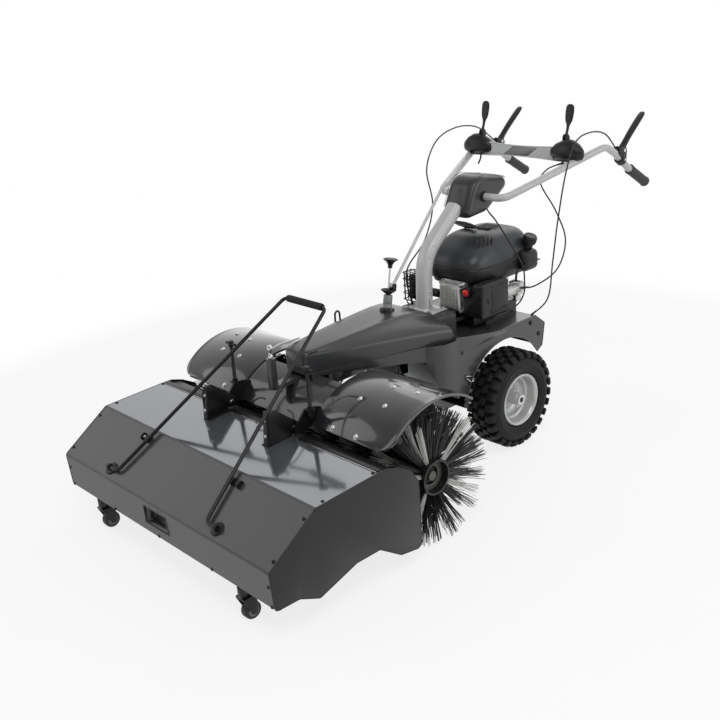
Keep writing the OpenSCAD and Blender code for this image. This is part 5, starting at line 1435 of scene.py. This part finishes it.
class SWEEPER_OT_handle(SweeperOperator):
    """Adds the post, head cover, handlebar, grips, levers, consoles and paddles"""
    bl_idname = "sweeper.handle"
    bl_label = "Post and Handlebar"

    def build(self, scene):
        self.post()
        self.head()
        self.bar()
        self.levers()
        self.consoles()

    def post(self):
        column = boxed_tube("post_tube", POST_LINE, 52, 45, 17, 14, 135)
        rib = boxed_tube("post_rib", POST_LINE, 52.6, 3, 1.2, 14, 135)
        plate = block("post_foot", (-60, 53, 475), (60, 143, 481), 4, 3)
        weld = turned("post_weld", [(24, 480), (31, 480), (29, 484), (25, 487)], (0, 96, 0), (0, 0, 1), 32)
        gussets = [slab("gusset", [(s * x * MM, 92 * MM, z * MM) for x, z in ((25, 480.5), (46, 480.5), (25, 530))],
                        (0, 0.005, 0), 0.0008) for s in (1, -1)]
        unite("post_tube", [column, plate, weld, rib] + gussets, "Tube Paint", "chassis", "tube_paint",
              "handle_post")
        bolts = [bolt("post_bolt", (x, y, 481), (0, 0, 1), 7, 6, False) for x in (-48, 48) for y in (62, 134)]
        bolts += [bolt("post_screw", (26.2, y, z), (1, 0, 0), 3.4, 1.6) for y, z in ((99, 540), (104, 655), (128, 690))]
        unite("post_bolts", bolts, "Bright Steel", "chassis", "bright_steel")
        rod = tube("shift_rod", [(0, -40.9, 597.7), (-30, 236, 854), (-26, 256, 866)], 5.2, 14, 14, 8)
        eye = turned("shift_eye", sleeve(4.3, 9, -7, 7), (0, -44.9, 593.7), (1, 0, 0), 28)
        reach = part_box("shift_lever")[1][0] / MM
        eye.data.transform(Matrix.Scale(min(1.0, reach / 7.0), 4, (1, 0, 0)))
        unite("shift_rod", [rod, eye], "Tube Paint", "shift_lever", "tube_paint", "shift_lever")

    def head_section(self, x, shrink):
        """The head cover's side view at one place across it."""
        circles = [(285, 776, 28), (345, 818, 64), (440, 838, 28)]
        ring = []
        for k in range(64):
            a = 2 * pi * k / 64
            way = Vector((cos(a), sin(a)))
            _, furthest = max((Vector((y, z)).dot(way) + (r - shrink), i) for i, (y, z, r) in enumerate(circles))
            y, z, r = circles[furthest]
            ring.append((x, y + way.x * (r - shrink), z + way.y * (r - shrink)))
        return ring

    def head(self):
        steps = [(14, 0), (28, 0.4), (39, 2), (47, 5.4), (52.6, 10.6), (55.2, 17), (56, 24)]
        steps = [(-x, s) for x, s in reversed(steps)] + steps
        cover = sheet("head_shell", [self.head_section(x, s) for x, s in steps], wrap=True, caps=True)
        cut(cover, turned("bar_room", peg(BAR_R + 0.2, -80, 80), PIVOT, (1, 0, 0), 32))
        cut(cover, boxed_tube("post_room", POST_LINE[:2] + [(258, 784)], 52.6, 45.6, 17, 14, 135))
        seam = [tube("head_seam", self.head_section(x, 1.1)[6:30], 0.9, 6) for x in (-48, 48)]
        rear = self.head_section(0, -0.4)[8]
        cross = [(x, rear[1], rear[2] - 0.0008 * x * x) for x in range(-45, 46, 9)]
        seam.append(tube("head_seam", cross, 0.9, 6))
        dress(smooth(cover, 40), "Head Plastic", "chassis", "hood_plastic", "head_cover")
        unite("head_seams", seam, "Soft Rubber", "chassis", "cable_rubber")
        collars = [turned("bar_collar", [(12.8, 55), (17, 55), (18, 57), (18, 60), (16, 62), (12.8, 62)],
                          PIVOT, (s, 0, 0), 32) for s in (1, -1)]
        unite("bar_collars", collars, "Black Plastic", "chassis", "black_plastic")

    def bar(self):
        bar = tube("bar_tube", BAR[::-1] + [(-x, y, z) for x, y, z in BAR], BAR_R, 24, 48, 10)
        plate_z, span = 917, 436

        def half_width(x):
            return 24 - 6.5 * cos(pi * x / span) ** 2

        rows = []
        for k in range(25):
            x = -span / 2 + span * k / 24
            rows.append([(x, 608.5, plate_z + v * half_width(x)) for v in (-1, -0.5, 0, 0.5, 1)])
        plate = sheet("cross_plate", rows)
        modify(plate, "SOLIDIFY", thickness=0.003, offset=0.0)
        soften(plate, 0.0008, 2, 50)
        lips = [tube("plate_lip", [(x, 607.5, plate_z + v * half_width(x)) for x in range(-216, 217, 24)], 2.2, 8)
                for v in (-1, 1)]
        unite("bar_tube", [bar, plate] + lips, "Tube Paint", "handlebar", "tube_paint", "handlebar")
        label = sheet("plate_band", [[(x, 606.2, plate_z + v * 15) for v in (-1, 0, 1)] for x in (-52, -26, 0, 26, 52)])
        for vert in label.data.vertices:
            vert.co.x += (vert.co.z - plate_z * MM) * 1.4
        modify(label, "SOLIDIFY", thickness=0.0012, offset=0.0)
        dress(label, "Caster Hub", "handlebar", "tube_paint")
        for side, name in SIDES:
            start, stop = (Vector((x * side, y, z)) for x, y, z in BAR[-2:])
            way = (stop - start).normalized()
            first, length = start + way * 8, (stop - start).length - 3
            ribs = [(17 if k % 2 else 15.9, 8 + (length - 18) * k / 29) for k in range(30)]
            profile = [(12.7, 0), (18, 0), (18, 4), (16, 6), *ribs, (17, length - 8), (18.4, length - 5),
                       (17.4, length - 1), (12, length), (TIP, length), (TIP, length - 4), (12.7, length - 4)]
            grip = turned(name + "_grip", profile, first, way, 32, angle=40)
            dress(grip, "Grip Rubber", "handlebar", "grip_rubber", "grips")

    def levers(self):
        for side, name in SIDES:
            x = BAR[3][0] * side
            at = Vector((x, 817.8, 873.4))
            way = (Vector(BAR[3]) - Vector(BAR[2])).normalized()
            clamp = turned("clamp", mirror_profile([(12.6, 12), (17.5, 12), (18.4, 10)]), at, way, 32)
            outline = [(806, 879), (787, 897), (786, 906), (795, 914), (810, 918), (820, 918), (828, 914), (833, 904),
                       (830, 867)]
            cheeks = [side_slab("cheek", outline, x + low, x + low + 4, 1.0) for low in (-16.3, 12.3)]
            barrel = tube("adjuster", [(x, 819, 891), (x, 806, 902), (x, 796, 911)], 4.6, 12)
            nut = tube("adjuster_nut", [(x, 809, 899.5), (x, 803, 905)], 6.4, 6)
            box = block("perch_box", (x - 11.8, 811, 881), (x + 11.8, 825, 893), 3, 3)
            pin = turned("lever_pin", peg(4, -17, 17), (x, *LEVER_PIN), (1, 0, 0), 20)
            unite(name + "_perch", [clamp, barrel, nut, box, pin] + cheeks, "Black Plastic", "handlebar",
                  "black_plastic", "lever_perches")
            screws = [bolt("perch_screw", (x + s * 16.3, *LEVER_PIN), (s, 0, 0), 6, 3) for s in (1, -1)]
            screws.append(bolt("clamp_screw", tuple(at + Vector((18.2 * side, 0, 0))), (side, 0, 0), 4, 4))
            unite(name + "_perch_screws", screws, "Bright Steel", "handlebar", "bright_steel")
            self.lever(name, x)

    def lever(self, name, x):
        stations = ((-7, 9, 5, 0), (0, 11.6, 7, 0), (12, 12, 7, 0), (30, 11.4, 6, 1), (48, 11, 6, 2),
                    (62, 11.2, 6, 2.5), (80, 11.6, 6, 2.5), (110, 12, 6, 2), (140, 12, 6, 1), (156, 12, 4.8, 0.4),
                    (167, 10.6, 4.2, 0), (171.6, 7, 3, 0))
        rise = radians(39.9)
        way = Vector((0, cos(rise), sin(rise)))
        out = Vector((0, -sin(rise), cos(rise)))
        piece = blade("lever_blade", Vector((x, *LEVER_PIN)), way, out, stations, (0.45, 0.7), (4.2, 20))
        dress(piece, "Black Plastic", name + "_lever", "black_plastic", name + "_lever")

    def consoles(self):
        # Place along X, half width, height above and below the middle, and shift to the rear
        stations = ((-64, 3, 6, 8, 0), (-60, 12, 15, 14, 1), (-44, 24, 30, 20, 3), (-18, 31, 42, 25, 5),
                    (2, 33, 46, 27, 5), (22, 31, 44, 27, 4), (44, 25, 33, 24, 2), (60, 14, 18, 18, 1), (66, 4, 8, 9, 0))
        ring = [(cos(2 * pi * k / 28), sin(2 * pi * k / 28)) for k in range(28)]
        outline = [(611, 938), (612, 972), (616, 980), (622, 982), (628, 980), (632, 972), (633, 938)]
        for side, name in SIDES:
            rows = [[((190 + t) * side, 612 + back + wide * c * 0.95, 921 + (up if s > 0 else down) * s)
                     for c, s in ring] for t, wide, up, down, back in stations]
            dome = sheet(name + "_console", rows, wrap=True, caps=True)
            px = 180 * side
            pin_at = (px, 622, 973)
            ears = [side_slab("paddle_ear", outline, px + low, px + low + 4, 0.8) for low in (-8.3, 4.3)]
            cut(dome, tube("bar_room", [(x * side, y, z) for x, y, z in BAR[:2]], BAR_R + 0.2, 24))
            pin = turned("paddle_pin", peg(3, -9, 9), pin_at, (1, 0, 0), 16)
            rim = tube("console_rim", [(px - side * 52, 615, 913), (px - side * 20, 583, 900),
                                       (px + side * 30, 588, 900), (px + side * 60, 614, 913)], 2.2, 8, 24)
            unite(name + "_console", [dome, pin, rim] + ears, "Black Plastic", "handlebar", "black_plastic",
                  "consoles")
            self.paddle(name, pin_at)
        line = spline([(-172, 602, 896), (-166, 592, 884), (-160, 580, 878), (-158, 570, 868)], 6)
        link = tube("console_link", line, 3, 8)
        dress(link, "Black Plastic", "handlebar", "black_plastic")

    def paddle(self, name, pin):
        stations = ((-7, 3.4, 5, 0), (0, 3.8, 7.4, 0), (8, 3.8, 6, 0), (20, 4, 4, 1), (34, 5, 3.4, 1.4),
                    (44, 9, 3, 1.4), (52, 13.6, 2.8, 1), (66, 16, 2.6, 0), (82, 17, 2.6, -1), (96, 16, 2.5, -2.4),
                    (103, 12, 2.2, -3.2), (106, 6, 1.6, -3.6))
        lean = radians(-15)
        way = Vector((0, -sin(lean), cos(lean)))
        out = Vector((0, cos(lean), sin(lean)))
        piece = blade("paddle_blade", Vector(pin), way, out, stations, (0.6, 0.8), (3.2, 16))
        dress(piece, "Black Plastic", name + "_paddle", "black_plastic", name + "_paddle")


class SWEEPER_PT_panel(bpy.types.Panel):
    """Lists the sweeper's operators and values"""
    bl_label = "Power Brush Sweeper"
    bl_idname = "SWEEPER_PT_panel"
    bl_space_type = "VIEW_3D"
    bl_region_type = "UI"
    bl_category = "Sweeper"

    def draw(self, context):
        layout = self.layout
        for values in (context.scene.sweeper_colours, context.scene.sweeper_sizes):
            column = layout.column()
            for key in values.__annotations__:
                column.prop(values, key)
        for operator in OPERATORS:
            layout.operator(operator.bl_idname)


OPERATORS = (SWEEPER_OT_stage, SWEEPER_OT_cables, SWEEPER_OT_collector, SWEEPER_OT_bail, SWEEPER_OT_brush_head,
             SWEEPER_OT_brush, SWEEPER_OT_wheels, SWEEPER_OT_chassis, SWEEPER_OT_engine, SWEEPER_OT_handle)
CLASSES = (SweeperColours, SweeperSizes, *OPERATORS, SWEEPER_PT_panel)


def register():
    for item in CLASSES:
        bpy.utils.register_class(item)
    bpy.types.Scene.sweeper_colours = bpy.props.PointerProperty(type=SweeperColours)
    bpy.types.Scene.sweeper_sizes = bpy.props.PointerProperty(type=SweeperSizes)


def unregister():
    del bpy.types.Scene.sweeper_sizes
    del bpy.types.Scene.sweeper_colours
    for item in reversed(CLASSES):
        bpy.utils.unregister_class(item)


def main():
    register()
    bpy.ops.sweeper.stage()
    bpy.ops.sweeper.cables()
    bpy.ops.sweeper.collector()
    bpy.ops.sweeper.bail()
    bpy.ops.sweeper.brush_head()
    bpy.ops.sweeper.brush()
    bpy.ops.sweeper.wheels()
    bpy.ops.sweeper.chassis()
    bpy.ops.sweeper.engine()
    bpy.ops.sweeper.handle()


if __name__ == "__main__":
    main()
